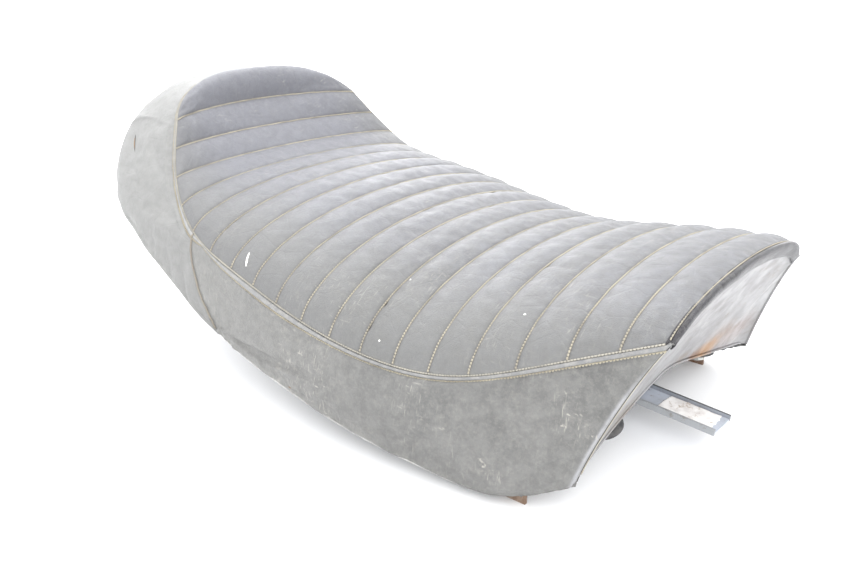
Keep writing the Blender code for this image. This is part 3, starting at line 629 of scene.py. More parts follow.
def worn_metal(name, paint, bare, amount, roughness, rust, metallic):
    """Painted or plated steel, worn to bare metal in patches, with rust spots."""
    s = Shader(name)
    patches = s.patches(70, 6, 0.7, 0.60 - 0.2 * amount, 0.72 - 0.15 * amount)
    scratches = s.lines((60, 1500, 900), (0.1, 0.2, 0.3), 0.64, 0.72)
    gone = s.math("MAXIMUM", s.product(patches, amount), s.product(scratches, 0.6))
    base = s.patchy(30, 4, 0.6, paint, tuple(c * 0.78 for c in paint))
    base = s.mix(gone, base, bare)
    spots = s.patches(120, 6, 0.75, 0.56, 0.68)
    s.set(Base_Color=s.stained(base, spots, rust, (0.24, 0.10, 0.04)))
    rough = s.ramp(s.noise(150, 4), 0.3, 0.7, roughness - 0.08, roughness + 0.12)
    s.set(Roughness=s.math("ADD", rough, s.product(spots, 0.3 * rust)))
    s.bump([(s.noise(700, 4, 0.6), 0.00015, 0.35), (s.product(spots, rust), 0.0003, 0.5)])
    s.set(Metallic=metallic)
    return s.material


def channel_paint():
    """Blue-grey paint, chipped and spotted: pale and bluer on the channel's floor as a painted reflection,
    darker on its flanges as painted shade.
    """
    s = Shader("channel_paint")
    flange_shade = s.ramp(s.math("ABSOLUTE", s.axis("Y"), 0), 0.0127, 0.0133)
    far = s.ramp(s.axis("Y"), -0.002, 0.002)
    # painted light: the floor's pale blue is partly a painted reflection; below, the flanges get painted
    # shade, the far one nearly black
    base = s.patchy(34, 5, 0.65, (0.43, 0.46, 0.52), (0.34, 0.36, 0.40))
    sides = s.mix(far, (0.26, 0.27, 0.28), (0.06, 0.065, 0.07))
    base = s.mix(flange_shade, base, sides)
    scratches = s.lines((60, 1500, 900), (0.1, 0.2, 0.3), 0.62, 0.72)
    base = s.stained(base, scratches, 0.5, (0.36, 0.36, 0.35))
    chips = s.patches(150, 6, 0.75, 0.57, 0.66)
    base = s.stained(base, chips, 0.55, (0.15, 0.12, 0.10))
    s.set(Base_Color=base)
    s.uneven_roughness(0.36, 0.58, 150, 4)
    s.bump([(s.noise(700, 4, 0.6), 0.00015, 0.35), (chips, 0.0003, 0.5)])
    return s.material


def rubber_finish():
    s = Shader("old_rubber")
    bloom = s.patches(85, 5, 0.7, 0.42, 0.70)
    s.set(Base_Color=s.mix(s.product(bloom, 0.6), (0.022, 0.022, 0.024), (0.10, 0.095, 0.09)))
    s.uneven_roughness(0.62, 0.85, 200, 4)
    s.bump([(s.noise(900, 4, 0.6), 0.00018, 0.5), (s.ramp(s.cells(160), 0.0, 0.06), 0.0002, 0.3)])
    return s.material


def foam_finish():
    s = Shader("old_foam")
    s.set(Base_Color=s.patchy(20, 5, 0.6, (0.62, 0.46, 0.22), (0.48, 0.34, 0.15)))
    s.uneven_roughness(0.88, 1.0, 80)
    s.bump([(s.cells(900, "F1"), 0.0006, 0.8)])
    return s.material


def label_finish():
    """Blank sticker: off-white paper, rubbed through to brown in places."""
    s = Shader("label_paper_worn")
    fade = s.patches(55, 5, 0.65, 0.42, 0.64)
    base = s.mix(fade, (0.74, 0.72, 0.70), (0.58, 0.55, 0.53))
    rub_and_sheen_patches = s.patches(120, 6, 0.75, 0.54, 0.63)
    base = s.stained(base, rub_and_sheen_patches, 0.75, (0.33, 0.25, 0.18))
    s.set(Base_Color=base)
    s.uneven_roughness(0.6, 0.85, 200)
    s.bump([(rub_and_sheen_patches, 0.0002, 0.5), (s.noise(600, 3), 0.0001, 0.3)])
    return s.material


def paint_drop():
    s = Shader("dried_paint")
    s.set(Base_Color=s.mix(s.ramp(s.noise(400, 3), 0.4, 0.6), (0.86, 0.85, 0.80), (0.74, 0.72, 0.66)))
    s.uneven_roughness(0.4, 0.6, 300)
    return s.material


def floor_finish():
    s = Shader("pale_floor")
    tone = s.mix(s.ramp(s.noise(2.5, 3), 0.3, 0.7), (0.90, 0.90, 0.90), (0.88, 0.885, 0.89))
    s.set(Base_Color=tone, Roughness=0.85)
    return s.material


# ---------------- covers


def stitched_rows():
    """Rows of the top panel's grid: close together near each stitched row."""
    step = (1 - np.cos(np.linspace(0, pi, 15))) / 2
    rows = np.concatenate([k + step[:-1] for k in range(RIBS)])
    last = RIBS + 2 * np.concatenate([step[:8] * 0.5, np.linspace(0.15, 0.992, 22)])
    return np.unique(np.round(np.concatenate([rows, last]), 5))


def set_attribute(made, name, values):
    """A value at each vertex for the materials to read."""
    layer = made.data.attributes.new(name, "FLOAT", "POINT")
    layer.data.foreach_set("value", np.asarray(values, np.float32).ravel())


def pleats(row, column):
    """Height of the quilted top over the plain crown."""
    swell = np.abs(np.sin(pi * row))**0.55
    last = np.sin(pi * np.clip((row - RIBS) / (ROW_END - RIBS), 0, 1))**0.7
    uneven = 1 + 0.22 * waves(11, np.floor(row) * 3.7, column * 1.4)
    nose = np.where(row < 1, 1 - 0.50 * (1 - np.clip(row, 0, 1))**1.5, 1)
    height = np.where(row > RIBS, LAST_PLEAT * last, PLEAT * swell * uneven * nose)
    fade = 1 - np.abs(column)**9
    pucker = 0.00022 * waves(5, row * 0.35 + 40, column * 17, 8) * bell(row - np.round(row), 0.22)
    return (height + pucker * (row < RIBS)) * fade - 0.0005 * (1 - swell * (row < RIBS)) * fade


def nose_drop(row, column):
    """How far the top rolls down towards its front edge, most at the left end."""
    return (NOSE_DROP + 0.0034 * np.clip(column, 0, 1)**1.5) * (1 - np.clip(row / 0.95, 0, 1))**2.0


def creases(row, column):
    """Shallow folds where the saddle has been sat on."""
    total = 0
    scale = np.array([ROW_LENGTH, COLUMN_LENGTH])
    place = np.stack([row, column], -1) * scale
    for start, end, depth, width in FOLDS:
        start, end = start * scale, end * scale
        share = np.clip((place - start) @ (end - start) / ((end - start)**2).sum(), 0, 1)
        away = np.linalg.norm(place - start - share[..., None] * (end - start), axis=-1)
        total = total - depth * bell(away, width) * np.sin(pi * np.clip(share, 0.04, 0.96))
    return total


def seam_to_seam(count, reach):
    """Columns over the top panel, closer together near the seams."""
    return np.sin(np.linspace(-1, 1, count) * pi / 2 * reach) / sin(pi / 2 * reach)


def top_panel(finish):
    """The ribbed top: pleats and folds drawn on the plain crown, with the puckers of a cloth run."""
    rows, columns = stitched_rows(), seam_to_seam(171, 0.86)
    coarse_rows = np.concatenate([np.arange(0, RIBS, 1 / 6), np.linspace(RIBS, 19.98, 12)])
    coarse_columns = seam_to_seam(81, 0.8)
    r, c = crossed(coarse_rows, coarse_columns)
    held = (np.abs(c) > 0.999) | (r > 19.9) | ((np.abs(r - np.round(r)) < 0.01) & (r < RIBS + 0.5))
    loose = settled(raised(r, c, 0.55 * pleats(r, c), 1), held, 0.005, 4.0, 0.0030)
    r, c = crossed(rows, columns)
    fade = (1 - np.abs(c)**16) * np.clip((ROW_END - r) / 2, 0, 1)
    swollen = spread(loose, coarse_rows, coarse_columns, rows, columns) * fade[..., None]
    share = 0.75
    height = share * pleats(r, c) + creases(r, c) + 0.0003 - nose_drop(r, c)
    grid = raised(r, c, height, 1) + swollen
    made = sheet_object("saddle_top", grid, finish, VINYL)
    edge = np.clip((np.abs(c) - 0.965) / 0.035, 0, 1) * 0.3
    sewn = (r - np.round(r)) + 9 * (r >= 18.3)
    valley = bell(sewn, 0.05) * (0.2 + 0.2 * waves(8, r * 2.1, c * 6))
    set_attribute(made, "wear", np.clip(edge + 0.4 * valley, 0, 1))
    # painted shade in the valleys beside each stitched row
    set_attribute(made, "dirt", 0.55 * bell(sewn, 0.055) * (0.75 + 0.3 * waves(9, r, c * 5)))
    return made, grid


def strip_width(row):
    """Width of the turned strip below the seam: broad at the nose, narrow over the hump."""
    return np.interp(row, (0, 9, 13.5, 16, 20), (0.0066, 0.0064, 0.0042, 0.0024, 0.0022))


def skirt_path(row, side):
    """Columns of one side, from the seam to the lower edge, with their distances below the seam."""
    fine = 1 + np.linspace(0, 1, 261)
    lean = SEAM_SLANT * np.clip(1 - np.abs(row - TAIL_ROW) / 1.6, 0, 1)[:, None] * (2 - fine)
    line = skin(row[:, None] + lean, side * fine)
    steps = np.linalg.norm(np.diff(line, axis=1), axis=2)
    length = np.concatenate([np.zeros((len(row), 1)), np.cumsum(steps, 1)], 1)
    near = np.concatenate([STRIP_STEPS, [0.011, 0.013, 0.0155]])
    rest = np.linspace(0, 1, 46)[1:]
    distance = [np.concatenate([near, near[-1] + (k[-1] - near[-1]) * rest]) for k in length]
    out = [np.stack([np.interp(at, k, points[:, a]) for a in range(3)], -1)
           for at, k, points in zip(distance, length, line)]
    return np.array(out), np.array(distance), length[:, -1]


def roll_radius(distance):
    """Radius of the rolled front edge, by the distance below the seam."""
    share = np.clip(distance / 0.040, 0, 1)
    return ROLL_START + (ROLL - ROLL_START) * share**2 * (3 - 2 * share)


def grid_normals(grid):
    return unit(np.cross(np.gradient(grid, axis=0), np.gradient(grid, axis=1)))


def hem_columns(row):
    """The hem, turned in under the seat."""
    columns = []
    for depth, lift in HEM_STEPS:
        point = lower_edge(row) + edge_inward(row) * depth
        point[:, 2] = under(point[:, 0], point[:, 1]) + lift
        columns.append(point)
    return np.stack(columns, 1)


def skirt(name, rows, sides, finish, turned_front):
    """A side or tail cover: strip under the seam, the panel, and its turned-in hem."""
    grid, distance, total = skirt_path(rows, sides[0])
    grid[:, :, 1] = np.abs(grid[:, :, 1]) * sides[:, None]
    normal = grid_normals(grid)
    normal *= np.sign((normal[:, 30, 1] * sides).mean())
    row, total = rows[:, None], total[:, None]
    width = strip_width(row)
    ridge = 0.0010 * np.sin(pi * np.clip(distance / width, 0, 1))**0.5
    groove = -0.0009 * bell(distance - width, 0.0008) - 0.0004 * bell(distance, 0.0006)
    pucker = np.exp(-np.maximum(distance - width, 0) / 0.010) * (distance > width)
    pucker = 0.0004 * pucker * waves(21, row * 4.3, distance * 30, 8)
    left = total - distance
    sag = 0.0011 * np.exp(-left / 0.012) * waves(31, row * 1.1, distance * 8, 6)
    slack = 0.0009 * np.sin(pi * np.clip(distance / total, 0, 1)) * waves(41, row * 0.32, distance * 9)
    wavy = 0.0016 * np.exp(-left / 0.010 - row / 2.5) * waves(33, row * 2.3, distance * 5, 5)
    held = (distance <= width * 1.3) | (left <= 0.004)
    held[[0, -1]] = True
    loose = settled(grid[::2, LOOSE_FROM:], held[::2, LOOSE_FROM:], 0.012, 1.5, 0.0022)
    index = np.arange(len(rows), dtype=float)
    order = np.arange(grid.shape[1] - LOOSE_FROM, dtype=float)
    grid[:, LOOSE_FROM:] += spread(loose, index[::2], order, index, order)
    height = ridge + groove + pucker + sag + slack + wavy + 0.0002
    if turned_front:
        radius = roll_radius(distance)
        back = np.linalg.norm(grid - grid[:1], axis=-1)
        height = height - (radius - np.sqrt(radius**2 - np.clip(radius - back, 0, None)**2))
    hem = hem_columns(rows)
    hem[:, :, 1] = np.abs(hem[:, :, 1]) * sides[:, None]
    grid = np.concatenate([grid + normal * height[..., None], hem], 1)
    if turned_front:
        grid = np.concatenate([front_turn(grid, normal), grid], 0)
    made = sheet_object(name, grid, finish, VINYL, flip=sides[0] < 0)
    extra, seen = len(grid) - len(rows), distance.shape[1]
    worn, painted_sheen = np.zeros((2, *grid.shape[:2]))
    worn[extra:, :seen] = 0.25 * np.exp(-left / 0.004) + 0.45 * np.clip(1.4 - distance / width, 0, 1)
    set_attribute(made, "wear", np.clip(worn, 0, 1))
    # painted highlight: the welt strip under the seam is painted lighter
    painted_sheen[extra:, :seen] = 0.34 * np.clip((width * 1.05 - distance) / 0.0008, 0, 1)
    if turned_front:
        # painted highlight: a bright line where the right cover's front edge rolls over
        edge = 0.85 * bell(back - 0.45 * radius, 0.42 * radius) * np.clip((distance - 0.016) / 0.03, 0, 1)
        painted_sheen[extra:, :seen] = np.maximum(painted_sheen[extra:, :seen], edge)
    set_attribute(made, "painted_sheen", painted_sheen)
    return made, grid[extra:]


def front_turn(grid, normal):
    """Rows in front of the first: the vinyl rolls over the pan's front edge."""
    out = np.concatenate([normal[8], np.repeat(normal[8][-1:], len(HEM_STEPS), 0)])
    forward = square_to(unit(grid[8] - grid[14]), out)
    steps = ((-0.0062, -0.0020), (-0.0034, -0.0021), (-0.0016, -0.0016), (-0.0005, -0.0009))
    return np.stack([grid[0] + forward * f + out * n for f, n in steps])


def front_trim(finish):
    """Band over the nose: it starts on the top panel, rolls over and ends on the pan's front."""
    columns = np.linspace(-1.0, 1.0, 121)
    on_top = ((0.17, 0.0005), (0.155, 0.0013), (0.125, 0.0016), (0.10, 0.0010), (0.075, 0.0008),
              (0.05, 0.0015))
    on_face = ((0.0026, 0.0022), (0.0050, 0.0021), (0.0075, 0.0019), (0.0100, 0.0017), (0.0120, 0.0013),
               (0.0126, 0.0006), (0.0121, 0.0001))
    out = skin_normal(0, columns, 1)
    forward = unit(skin(0, columns) - skin(0.25, columns))
    grid = [raised(row, columns, lift - nose_drop(row, columns), 1) for row, lift in on_top]
    top = raised(0, columns, 0.0004 - nose_drop(0, columns), 1)
    narrow = (1 - 0.5 * np.abs(columns)**3)[:, None]
    down = unit(pan_low(columns * 1.2) - top)
    face = unit(np.cross(down, np.gradient(top, axis=0)))
    face *= np.sign(face[:, :1])
    grid += [top + forward * 0.0006 + out * 0.0009, top + forward * 0.0016 + down * 0.0008]
    grid = np.stack(grid + [top + down * d * narrow + face * n for d, n in on_face])
    place = np.arange(len(grid))[:, None] * 0.11
    grid[6:] += (face[None] * (0.0003 * waves(51, columns[None] * 3.5, place))[..., None])[6:]
    made = sheet_object("nose_band", grid, finish, 0.0009, flip=True)
    smooth = made.modifiers.new("smooth", "SUBSURF")
    smooth.levels = smooth.render_levels = 1
    worn = np.zeros(grid.shape[:2])
    worn[:7] = 0.12
    set_attribute(made, "wear", worn)
    return made, raised(0.10, columns, 0.0011 - nose_drop(0.10, columns), 1), out


def pan_low(columns):
    """The lower lip of the pan's front face."""
    base = lower_edge(0.0)
    x = np.full(columns.shape, base[0] - PAN_INSET)
    y = (base[1] - PAN_INSET) * columns / 2
    sag = 0.0062 * np.sin(pi * np.clip((columns + 0.25) / 2.1, 0, 1))
    return np.stack([x, y, under(x, y) + PAN_LIFT - sag], -1)


# ---------------- stitching


def rib_stitching(light):
    """One line of thread in each channel between two pleats."""
    chunks = []
    columns = np.linspace(-0.985, 0.985, 400)
    for k in range(1, RIBS + 1):
        out = skin_normal(k, columns, 1)
        points, along, up = resampled(skin(k, columns) + out * 0.0002, out, RIB_PITCH)
        wander = 0.00022 * waves(k, np.arange(len(points)) * 0.11, 0.0, 7)
        points = points + unit(np.cross(up, along)) * wander[:, None]
        chunks.append(stitch_points(points, along, up, RIB_PITCH, THREAD * 1.5, 0.05, k))
    stitch_object("rib_stitching", chunks, light)


def seam_stitching(panels, light, golden):
    """Two lines beside the seam: a fine pale one on the top panel's edge, a thicker golden one below."""
    upper = []
    lower = []
    rows = np.linspace(0.15, 19.9, 900)
    for side in (-1, 1):
        out = skin_normal(rows, side)
        path = skin(rows, side * (1 - 0.0016 / COLUMN_LENGTH)) + out * 0.0004
        points, along, up = resampled(path, out, SEAM_PITCH)
        upper.append(stitch_points(points, along, up, SEAM_PITCH, THREAD * 1.25, 0.0, 70 + side))
    for rows, grid in panels:
        path = np.array([[np.interp(width, STRIP_STEPS, line[:len(STRIP_STEPS), a]) for a in range(3)]
                         for width, line in zip(strip_width(rows), grid)])
        out = grid_normals(grid[:, :40])[:, 12]
        out = out * np.sign(((path - SEAT_MIDDLE) * out).sum(1).mean())
        points, along, up = resampled(path, out, SEAM_PITCH)
        slant = np.where(np.arange(len(points)) % 2 == 0, 0.208, -0.208)[:, None]
        lower.append(stitch_points(points + up * 0.0002, along, up, SEAM_PITCH, THREAD * 1.6, slant, 80))
    stitch_object("seam_stitching_upper", upper, light)
    stitch_object("seam_stitching_lower", lower, golden)


# ---------------- pan and fittings


def pan_depth(columns):
    """How far the pan's front face lies inside the covers: more behind the rolled right edge."""
    return np.where(columns < -1, roll_radius((-1 - columns) * FRONT_LENGTH) + 0.0026, 0.0021)


def pan_end_column(side):
    """The column at which the front face meets the arched floor."""
    columns = np.linspace(1, 2, 400) * side
    point = raised(0, columns, -pan_depth(columns))
    over = point[:, 2] - under(point[:, 0], point[:, 1]) - PAN_LIFT
    return float(abs(columns[np.argmax(over < 0)])) if (over < 0).any() else 2.0


def seat_pan(finish, rim, gap_shade_finish):
    """Pressed pan: raked front face with a rolled lip, then the arched floor with two long beads."""
    columns = np.linspace(-pan_end_column(-1), pan_end_column(1), 121)
    end = np.where(columns < 0, -columns[0], columns[-1])
    top = raised(0, columns, -pan_depth(columns))
    low = pan_low(columns * 2 / end)
    share = np.linspace(0, 1, 28)[:, None, None]
    dish = -0.0022 * np.sin(pi * share) * (1 - (np.abs(columns) / end)**4)[None, :, None]
    face = top + (low - top) * share + np.array([1.0, 0, 0.45]) * dish
    rows = np.concatenate([[0.12, 0.3], np.linspace(0.5, 19.9, 90)])
    edge = (lower_edge(rows) + edge_inward(rows) * PAN_INSET)[:, None]
    y = edge[..., 1] * columns / end
    x = edge[..., 0] + 0 * y
    bead = bell(np.abs(y) - 0.062, 0.0045)
    bead *= np.clip((0.12 - x) / 0.02, 0, 1) * np.clip((x + 0.25) / 0.03, 0, 1)
    floor = np.stack([x, y, under(x, y) + PAN_LIFT + 0.0016 * bead], -1)
    pan = sheet_object("pan_shell", np.concatenate([face, floor]), finish, 0.0016, flip=True)
    # painted shadow: a near-black tube in the gap between the rolled cover edge and the pan's rim, laid
    # along the vinyl's cut edge
    c = np.linspace(-1.12, -1.97, 80)
    cut = raised(0, c, -roll_radius((-1 - c) * FRONT_LENGTH) - 0.0021) + np.array([-0.0002, 0, 0])
    tube_object("cut_edge_shadow_line", cut, 0.0010, skin_normal(0, c), gap_shade_finish)
    c = np.linspace(-1.02, columns[0], 60)
    wander = 0.0003 * waves(71, c * 9, c * 0)
    path = raised(0, c, -(pan_depth(c) + 0.0030 + wander)) + np.array([-0.0012, 0, 0])
    tube_object("pan_rim_right", path, 0.0027, skin_normal(0, c), rim)
    c = np.linspace(1.02, columns[-1], 60)
    tube_object("pan_rim_left", raised(0, c, -0.0012), 0.0013, skin_normal(0, c), finish)
    lip = pan_low(np.linspace(-1.93, 1.93, 90)) + np.array([0.0008, 0, 0.0006])
    tube_object("pan_lip", lip, 0.0009, np.array([0, 0, 1.0]), finish)
    return pan


def buffer_place(x, y):
    """Where a buffer stands on the pan's underside, and its turn to be square to it."""
    d = 0.002
    slope_x = float(under(x + d, y) - under(x - d, y)) / (2 * d)
    slope_y = float(under(x, y + d) - under(x, y - d)) / (2 * d)
    normal = Vector((slope_x, slope_y, -1)).normalized()
    tilt = BUFFER_RADIUS * Vector((normal.x, normal.y)).length * 0.35
    point = Vector((x, y, float(under(x, y)) + PAN_LIFT - 0.0004)) + normal * (0.0003 + tilt)
    turn = Vector((0, 0, -1)).rotation_difference(normal)
    return Matrix.Translation(point) @ turn.to_matrix().to_4x4()


def rubber_buffers(finish):
    """Six grooved rubbers with a sunk screw hole; the left front one is worn short."""
    r = BUFFER_RADIUS
    for name, (x, y, size) in BUFFERS.items():
        for side, sign in (("right", -1), ("left", 1)):
            height = size - 0.0045 * (name == "front" and side == "left")
            floor = 0.0040 - height
            profile = [(0.0001, -0.0002), (0.0110, -0.0002), (r, -0.0010), (r, -0.0030),
                       (r - 0.0010, -0.0038), (r - 0.0010, -0.0048), (r, -0.0056)]
            profile += [(r * 0.62 + r * 0.38 * cos(a), -height + 0.0042 - 0.0042 * sin(a))
                        for a in np.linspace(0, pi / 2, 9)]
            profile += [(0.0058, -height), (0.0054, 0.0004 - height), (0.0054, floor), (0.0034, floor),
                        (0.0001, floor)]
            made = turned_object(f"buffer_rubber_{name}_{side}", profile, buffer_place(x, y * sign), finish)
            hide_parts(f"buffer_{name}_{side}")


def label(finish):
    """Blank sticker with torn edges on the channel's floor."""
    place = Matrix.Translation(TONGUE_TIP) @ Matrix.Rotation(TONGUE_SLOPE, 4, "Y")
    u, v = crossed(np.linspace(0, 1, 90), np.linspace(-1, 1, 46))
    left = np.clip(v, 0, 1)
    rear = -0.0478 + 0.0012 * left + 0.0004 * waves(61, v * 6, v * 0, 8)
    tip = -0.0045 - 0.0012 * left + 0.0008 * waves(62, v * 4, v * 0, 8)
    x = rear + (tip - rear) * u
    y = v * (0.0126 + 0.0003 * waves(63, u * 5, np.sign(v), 8))
    z = 0.00245 + 0.00012 * waves(64, u * 7, v * 4) + 0.0003 * np.clip(u - 0.94, 0, 1) / 0.06 * left
    grid = placed(np.stack([x, y, z], -1), place)
    made = sheet_object("label_sticker", grid, finish, 0.00015, flip=True)
    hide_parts("blank_label")


def foam_core(finish):
    """The foam under the covers as one closed body, a little inside them and just over the pan."""
    count = 81
    rows = np.concatenate([np.linspace(0.5, RIBS, 90), np.linspace(RIBS, 19.8, 24)[1:]])
    r, c = crossed(rows, np.linspace(-1.82, 1.82, count))
    top = raised(r, c, -0.0062)
    top[..., 2] = np.maximum(top[..., 2], under(top[..., 0], top[..., 1]) + PAN_LIFT + 0.0045)
    base = lower_edge(rows)[:, None]
    share = np.linspace(1, -1, count)
    x = base[..., 0] + 0.004 * (base[..., 0] < -0.28) + share * 0
    y = (base[..., 1] - 0.012).clip(0.002) * share
    low = np.stack([x, y, under(x, y) + PAN_LIFT + 0.0034], -1)
    faces = grid_faces(len(rows), 2 * count, wrap=True).tolist()
    last = (len(rows) - 1) * 2 * count
    for j in range(count - 1):
        cap = [j, j + 1, 2 * count - 2 - j, 2 * count - 1 - j]
        faces += [cap, [last + k for k in reversed(cap)]]
    made = mesh_object("foam_core", np.concatenate([top, low], 1), faces, finish, closed=True)
    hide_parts("foam_saddle", "foam_hump")


def lip_rubbers(finish):
    """What is left of the rubber strip under the front lip: ragged at the left end, thin at the right."""
    angle = turns(14)
    for name, low, high, drop in (("left", 0.62, 0.97, 0.0042), ("right", -0.80, -0.95, 0.0018)):
        along = np.linspace(low, high, 120) * 2
        ragged = 0.55 + 0.45 * waves(91, along * 6, along * 0, 9)
        deep = drop * np.clip(ragged, 0.08, 1.1)[:, None]
        down = 0.5 * (np.sin(angle) - 1) * deep
        ring = np.stack(np.broadcast_arrays(0.0016 * np.cos(angle), 0.0, down), -1)
        rings = (pan_low(along) + np.array([-0.0022, 0, -0.0004]))[:, None] + ring
        made = ring_object("lip_strip_" + name, rings, finish)
        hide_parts("lip_rubber_" + name)


def laid(row, column, cloud, lift):
    """Points moved along the cover's normal to lie on a cloud of its vertices."""
    point = skin(row, column)
    out = skin_normal(row, column)
    flat = cloud.reshape(-1, 3)
    for index in np.ndindex(point.shape[:-1]):
        close = flat[np.argsort(((flat - point[index])**2).sum(-1))[:4]]
        point[index] += out[index] * (((close - point[index]) @ out[index]).mean() + lift[index])
    return point


def mark(name, cloud, start, end, width, finish, lift=0.0005):
    """A drop or a tear that lies on a cover, long from start to end, both (row, column)."""
    scale = np.array([ROW_LENGTH, COLUMN_LENGTH])
    start, end = np.array(start, float), np.array(end, float)
    ahead = (end - start) * scale
    sideways = np.array([-ahead[1], ahead[0]]) / np.linalg.norm(ahead) * width / 2 / scale
    share, turn = crossed(np.linspace(0.04, 1, 5), turns(20))
    reach = share * (1 + 0.22 * waves(len(name) * 7, np.cos(turn) * 1.3, np.sin(turn) * 1.3))
    place = (start + end) / 2 + (reach * np.cos(turn))[..., None] * (end - start) / 2
    place = place + (reach * np.sin(turn))[..., None] * sideways
    grid = laid(place[..., 0], place[..., 1], cloud, lift * (1 - share**4) - 0.0002 * (share > 0.99))
    made = mesh_object(name, grid, grid_faces(5, 20, wrap=True).tolist() + [list(range(20))[::-1]], finish)
    if skin_normal(*start) @ np.array(made.data.polygons[0].normal) < 0:
        made.data.flip_normals()


def finish_node(node, finish, width):
    """Material and small bevels of a CAD node."""
    if not nodes[node].material_slots:
        nodes[node].data.materials.append(finish)
    for slot in nodes[node].material_slots:
        slot.link = "OBJECT"
        slot.material = finish
    edges = nodes[node].modifiers.new("edges", "BEVEL")
    edges.width = width
    edges.segments = 2
    edges.limit_method = "ANGLE"
    edges.angle_limit = radians(35)
    nodes[node].data.shade_smooth()
    nodes[node].modifiers.new("normals", "WEIGHTED_NORMAL").keep_sharp = True


# ---------------- build the seat

# the third colour of each vinyl is its painted rear haze and glare, lightest on the tail
top_finish = vinyl("vinyl_ribbed", (0.091, 0.091, 0.093), (0.124, 0.126, 0.136),
                   (0.120, 0.122, 0.137), 0.50, 0.40, (0.124, 0.124, 0.118))
side_finish = vinyl("vinyl_side", (0.079, 0.079, 0.077), (0.132, 0.131, 0.126),
                    (0.182, 0.181, 0.174), 0.55, 0.75)
tail_finish = vinyl("vinyl_tail", (0.095, 0.095, 0.093), (0.130, 0.129, 0.125),
                    (0.192, 0.192, 0.187), 0.56, 0.25)
band_finish = vinyl("vinyl_band", (0.012, 0.011, 0.014), (0.026, 0.025, 0.030),
                    (0.03, 0.03, 0.034), 0.46, 0.3)
rib_thread = thread("thread_cream", (0.33, 0.30, 0.235), (0.18, 0.163, 0.135))
fine_thread = thread("thread_pale", (0.32, 0.30, 0.255), (0.20, 0.19, 0.165))
seam_thread = thread("thread_golden", (0.31, 0.28, 0.21), (0.20, 0.175, 0.13))
soiled_thread = thread("thread_soiled", (0.21, 0.19, 0.155), (0.16, 0.14, 0.12))
enamel = pan_paint()
foam = foam_finish()
drops = paint_drop()
# painted shade: near-black fill for the tear in the tail and the gap behind the right cover's rolled edge
slit_and_gap_shade = worn_metal("slit_shade", (0.045, 0.042, 0.040), (0.09, 0.085, 0.08), 0.4, 0.8, 0.1, 0.0)
brown_rub = worn_metal("brown_rub", (0.19, 0.13, 0.08), (0.13, 0.11, 0.09), 0.6, 0.7, 0.3, 0.0)
rim = rim_paint()
rubber = rubber_finish()

saddle, saddle_grid = top_panel(top_finish)
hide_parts("cover_top_panel")

side_rows = np.concatenate([np.linspace(0, 0.2, 13), np.linspace(0.2, TAIL_ROW, 236)[1:]])
tail_rows = np.concatenate([np.linspace(TAIL_ROW, 19.3, 120), np.linspace(19.35, 19.985, 24)])
panels = []
for name, side in (("right", -1), ("left", 1)):
    sides = np.full(len(side_rows), side)
    made, grid = skirt("side_" + name, side_rows, sides, side_finish, side < 0)
    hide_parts("cover_side_" + name)
    panels.append((side_rows, grid))

round_rows = np.concatenate([tail_rows, tail_rows[::-1]])
round_sides = np.concatenate([np.full(len(tail_rows), -1), np.full(len(tail_rows), 1)])
tail, tail_grid = skirt("tail_cover", round_rows, round_sides, tail_finish, False)
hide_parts("cover_tail_panel")
half = len(tail_rows)
panels += [(tail_rows, tail_grid[:half]), (tail_rows[::-1], tail_grid[half:])]

band, band_path, band_out = front_trim(band_finish)
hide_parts("front_trim")

rib_stitching(rib_thread)
seam_stitching(panels, fine_thread, seam_thread)
points, along, up = resampled(band_path, band_out, RIB_PITCH, 0.003)
stitch_object("nose_stitching", [stitch_points(points, along, up, RIB_PITCH, THREAD, 0.0, 90)], rib_thread)

join_out = unit(np.array([-0.35, -1.0, 0.15]))
for k, (name, side) in enumerate((("right", -1), ("left", 1))):
    mirror = np.array([1, -side, 1])
    line = panels[k][1][-1][2:64] + join_out * mirror * 0.0002
    tube_object("tail_join_" + name, line, 0.0008, join_out * mirror, soiled_thread, 8)

marks = (
    ("paint_blob", (11.64, -0.817), (11.44, -0.917), 0.0024),
    ("paint_speck_a", (6.90, -0.534), (6.90, -0.546), 0.0018),
    ("paint_speck_b", (3.30, -0.655), (3.30, -0.666), 0.0018),
    ("paint_speck_c", (6.52, -0.884), (6.52, -0.896), 0.0016))
for name, start, end, width in marks:
    mark(name, saddle_grid, start, end, width, drops)
# painted shade inside the tear's opening
mark("tail_slit", tail_grid, (17.40, -1.338), (16.74, -1.323), 0.0034, slit_and_gap_shade)
mark("tail_slit_foam", tail_grid, (17.30, -1.335), (16.86, -1.326), 0.0022, brown_rub, 0.0010)
mark("side_rub", panels[0][1], (7.80, -1.915), (7.68, -1.925), 0.004, brown_rub, 0.0003)
foam_core(foam)
lip_rubbers(rubber)
pan = seat_pan(enamel, rim, slit_and_gap_shade)
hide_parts("seat_pan")
rubber_buffers(rubber)
label(label_finish())

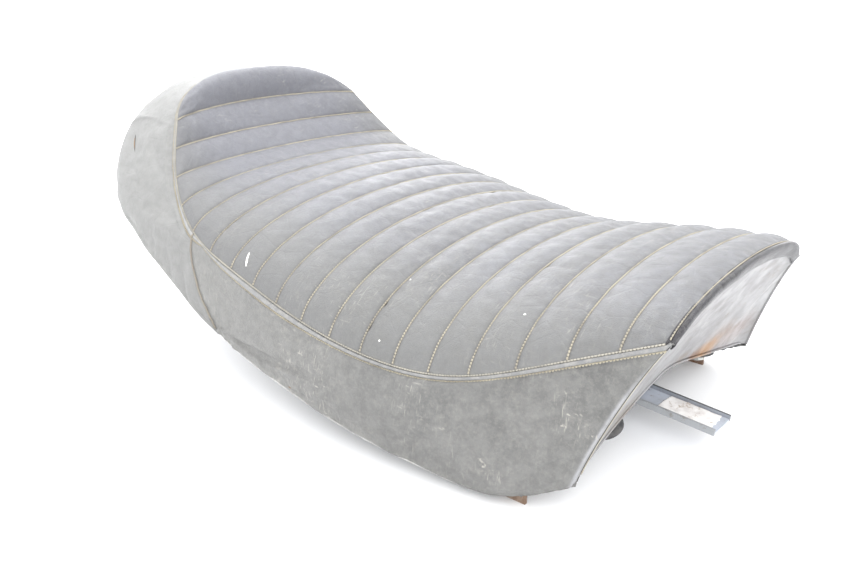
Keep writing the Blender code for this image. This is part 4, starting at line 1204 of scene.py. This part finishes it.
channel_finish = channel_paint()
bracket_finish = worn_metal("bracket_paint", (0.07, 0.068, 0.066), (0.30, 0.29, 0.28), 0.4, 0.5, 0.5, 0.3)
tab_finish = worn_metal("rusted_steel", (0.20, 0.13, 0.09), (0.30, 0.24, 0.19), 0.6, 0.72, 0.9, 0.2)
zinc_finish = worn_metal("zinc_plate", (0.42, 0.42, 0.40), (0.30, 0.28, 0.25), 0.5, 0.42, 0.4, 0.8)
for node in nodes:
    if nodes[node].hide_render:
        continue
    if node == "tongue_channel":
        finish_node(node, channel_finish, 0.0005)
    elif node in ("tongue_riser", "rear_stay"):
        finish_node(node, bracket_finish, 0.0006)
    elif node.startswith("side_tab"):
        finish_node(node, tab_finish, 0.0006)
    else:
        finish_node(node, zinc_finish, 0.0003)

for made in list(bpy.context.scene.objects):
    if made.type == "MESH" and not made.parent and "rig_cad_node" not in made:
        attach(made, "root")

# ---------------- floor, lights and camera

corners = [(-6, -6, 0), (6, -6, 0), (6, 6, 0), (-6, 6, 0)]
floor = mesh_object("floor", corners, [(0, 1, 2, 3)], floor_finish(), smooth=False)

world = bpy.data.worlds.new("studio")
world.use_nodes = True
sky = world.node_tree.nodes["Background"].inputs
sky["Color"].default_value = (0.97, 0.98, 1.0, 1)
sky["Strength"].default_value = 1.8
bpy.context.scene.world = world


def softbox(name, at, size, power):
    """A soft light that shines at the seat."""
    lamp = bpy.data.lights.new(name, "AREA")
    lamp.shape = "RECTANGLE"
    lamp.size, lamp.size_y = size
    lamp.energy = power
    made = bpy.data.objects.new(name, lamp)
    made.location = at
    made.rotation_mode = "QUATERNION"
    made.rotation_quaternion = (Vector((0, 0, 0.1)) - Vector(at)).to_track_quat("-Z", "Y")
    bpy.context.scene.collection.objects.link(made)


softbox("overhead", (-0.3, 0.3, 1.9), (2.2, 1.6), 50)
softbox("behind", (-1.6, 1.3, 1.1), (1.6, 1.2), 30)
softbox("front", (1.3, -1.3, 1.2), (1.2, 1.2), 34)

camera = bpy.data.objects.new("camera", bpy.data.cameras.new("camera"))
camera.data.lens = CAMERA_LENS
camera.data.sensor_width = 36
camera.data.clip_start = 0.02
level = Vector((cos(CAMERA_HEADING), sin(CAMERA_HEADING), 0))
forward = Vector((-level.y * cos(CAMERA_DOWN), level.x * cos(CAMERA_DOWN), -sin(CAMERA_DOWN)))
above = level.cross(forward)
right = level * cos(CAMERA_ROLL) + above * sin(CAMERA_ROLL)
upward = above * cos(CAMERA_ROLL) - level * sin(CAMERA_ROLL)
camera.matrix_world = Matrix.Translation(CAMERA_AT) @ Matrix((right, upward, -forward)).transposed().to_4x4()
bpy.context.scene.collection.objects.link(camera)
bpy.context.scene.camera = camera
bpy.context.scene.view_settings.view_transform = "Standard"
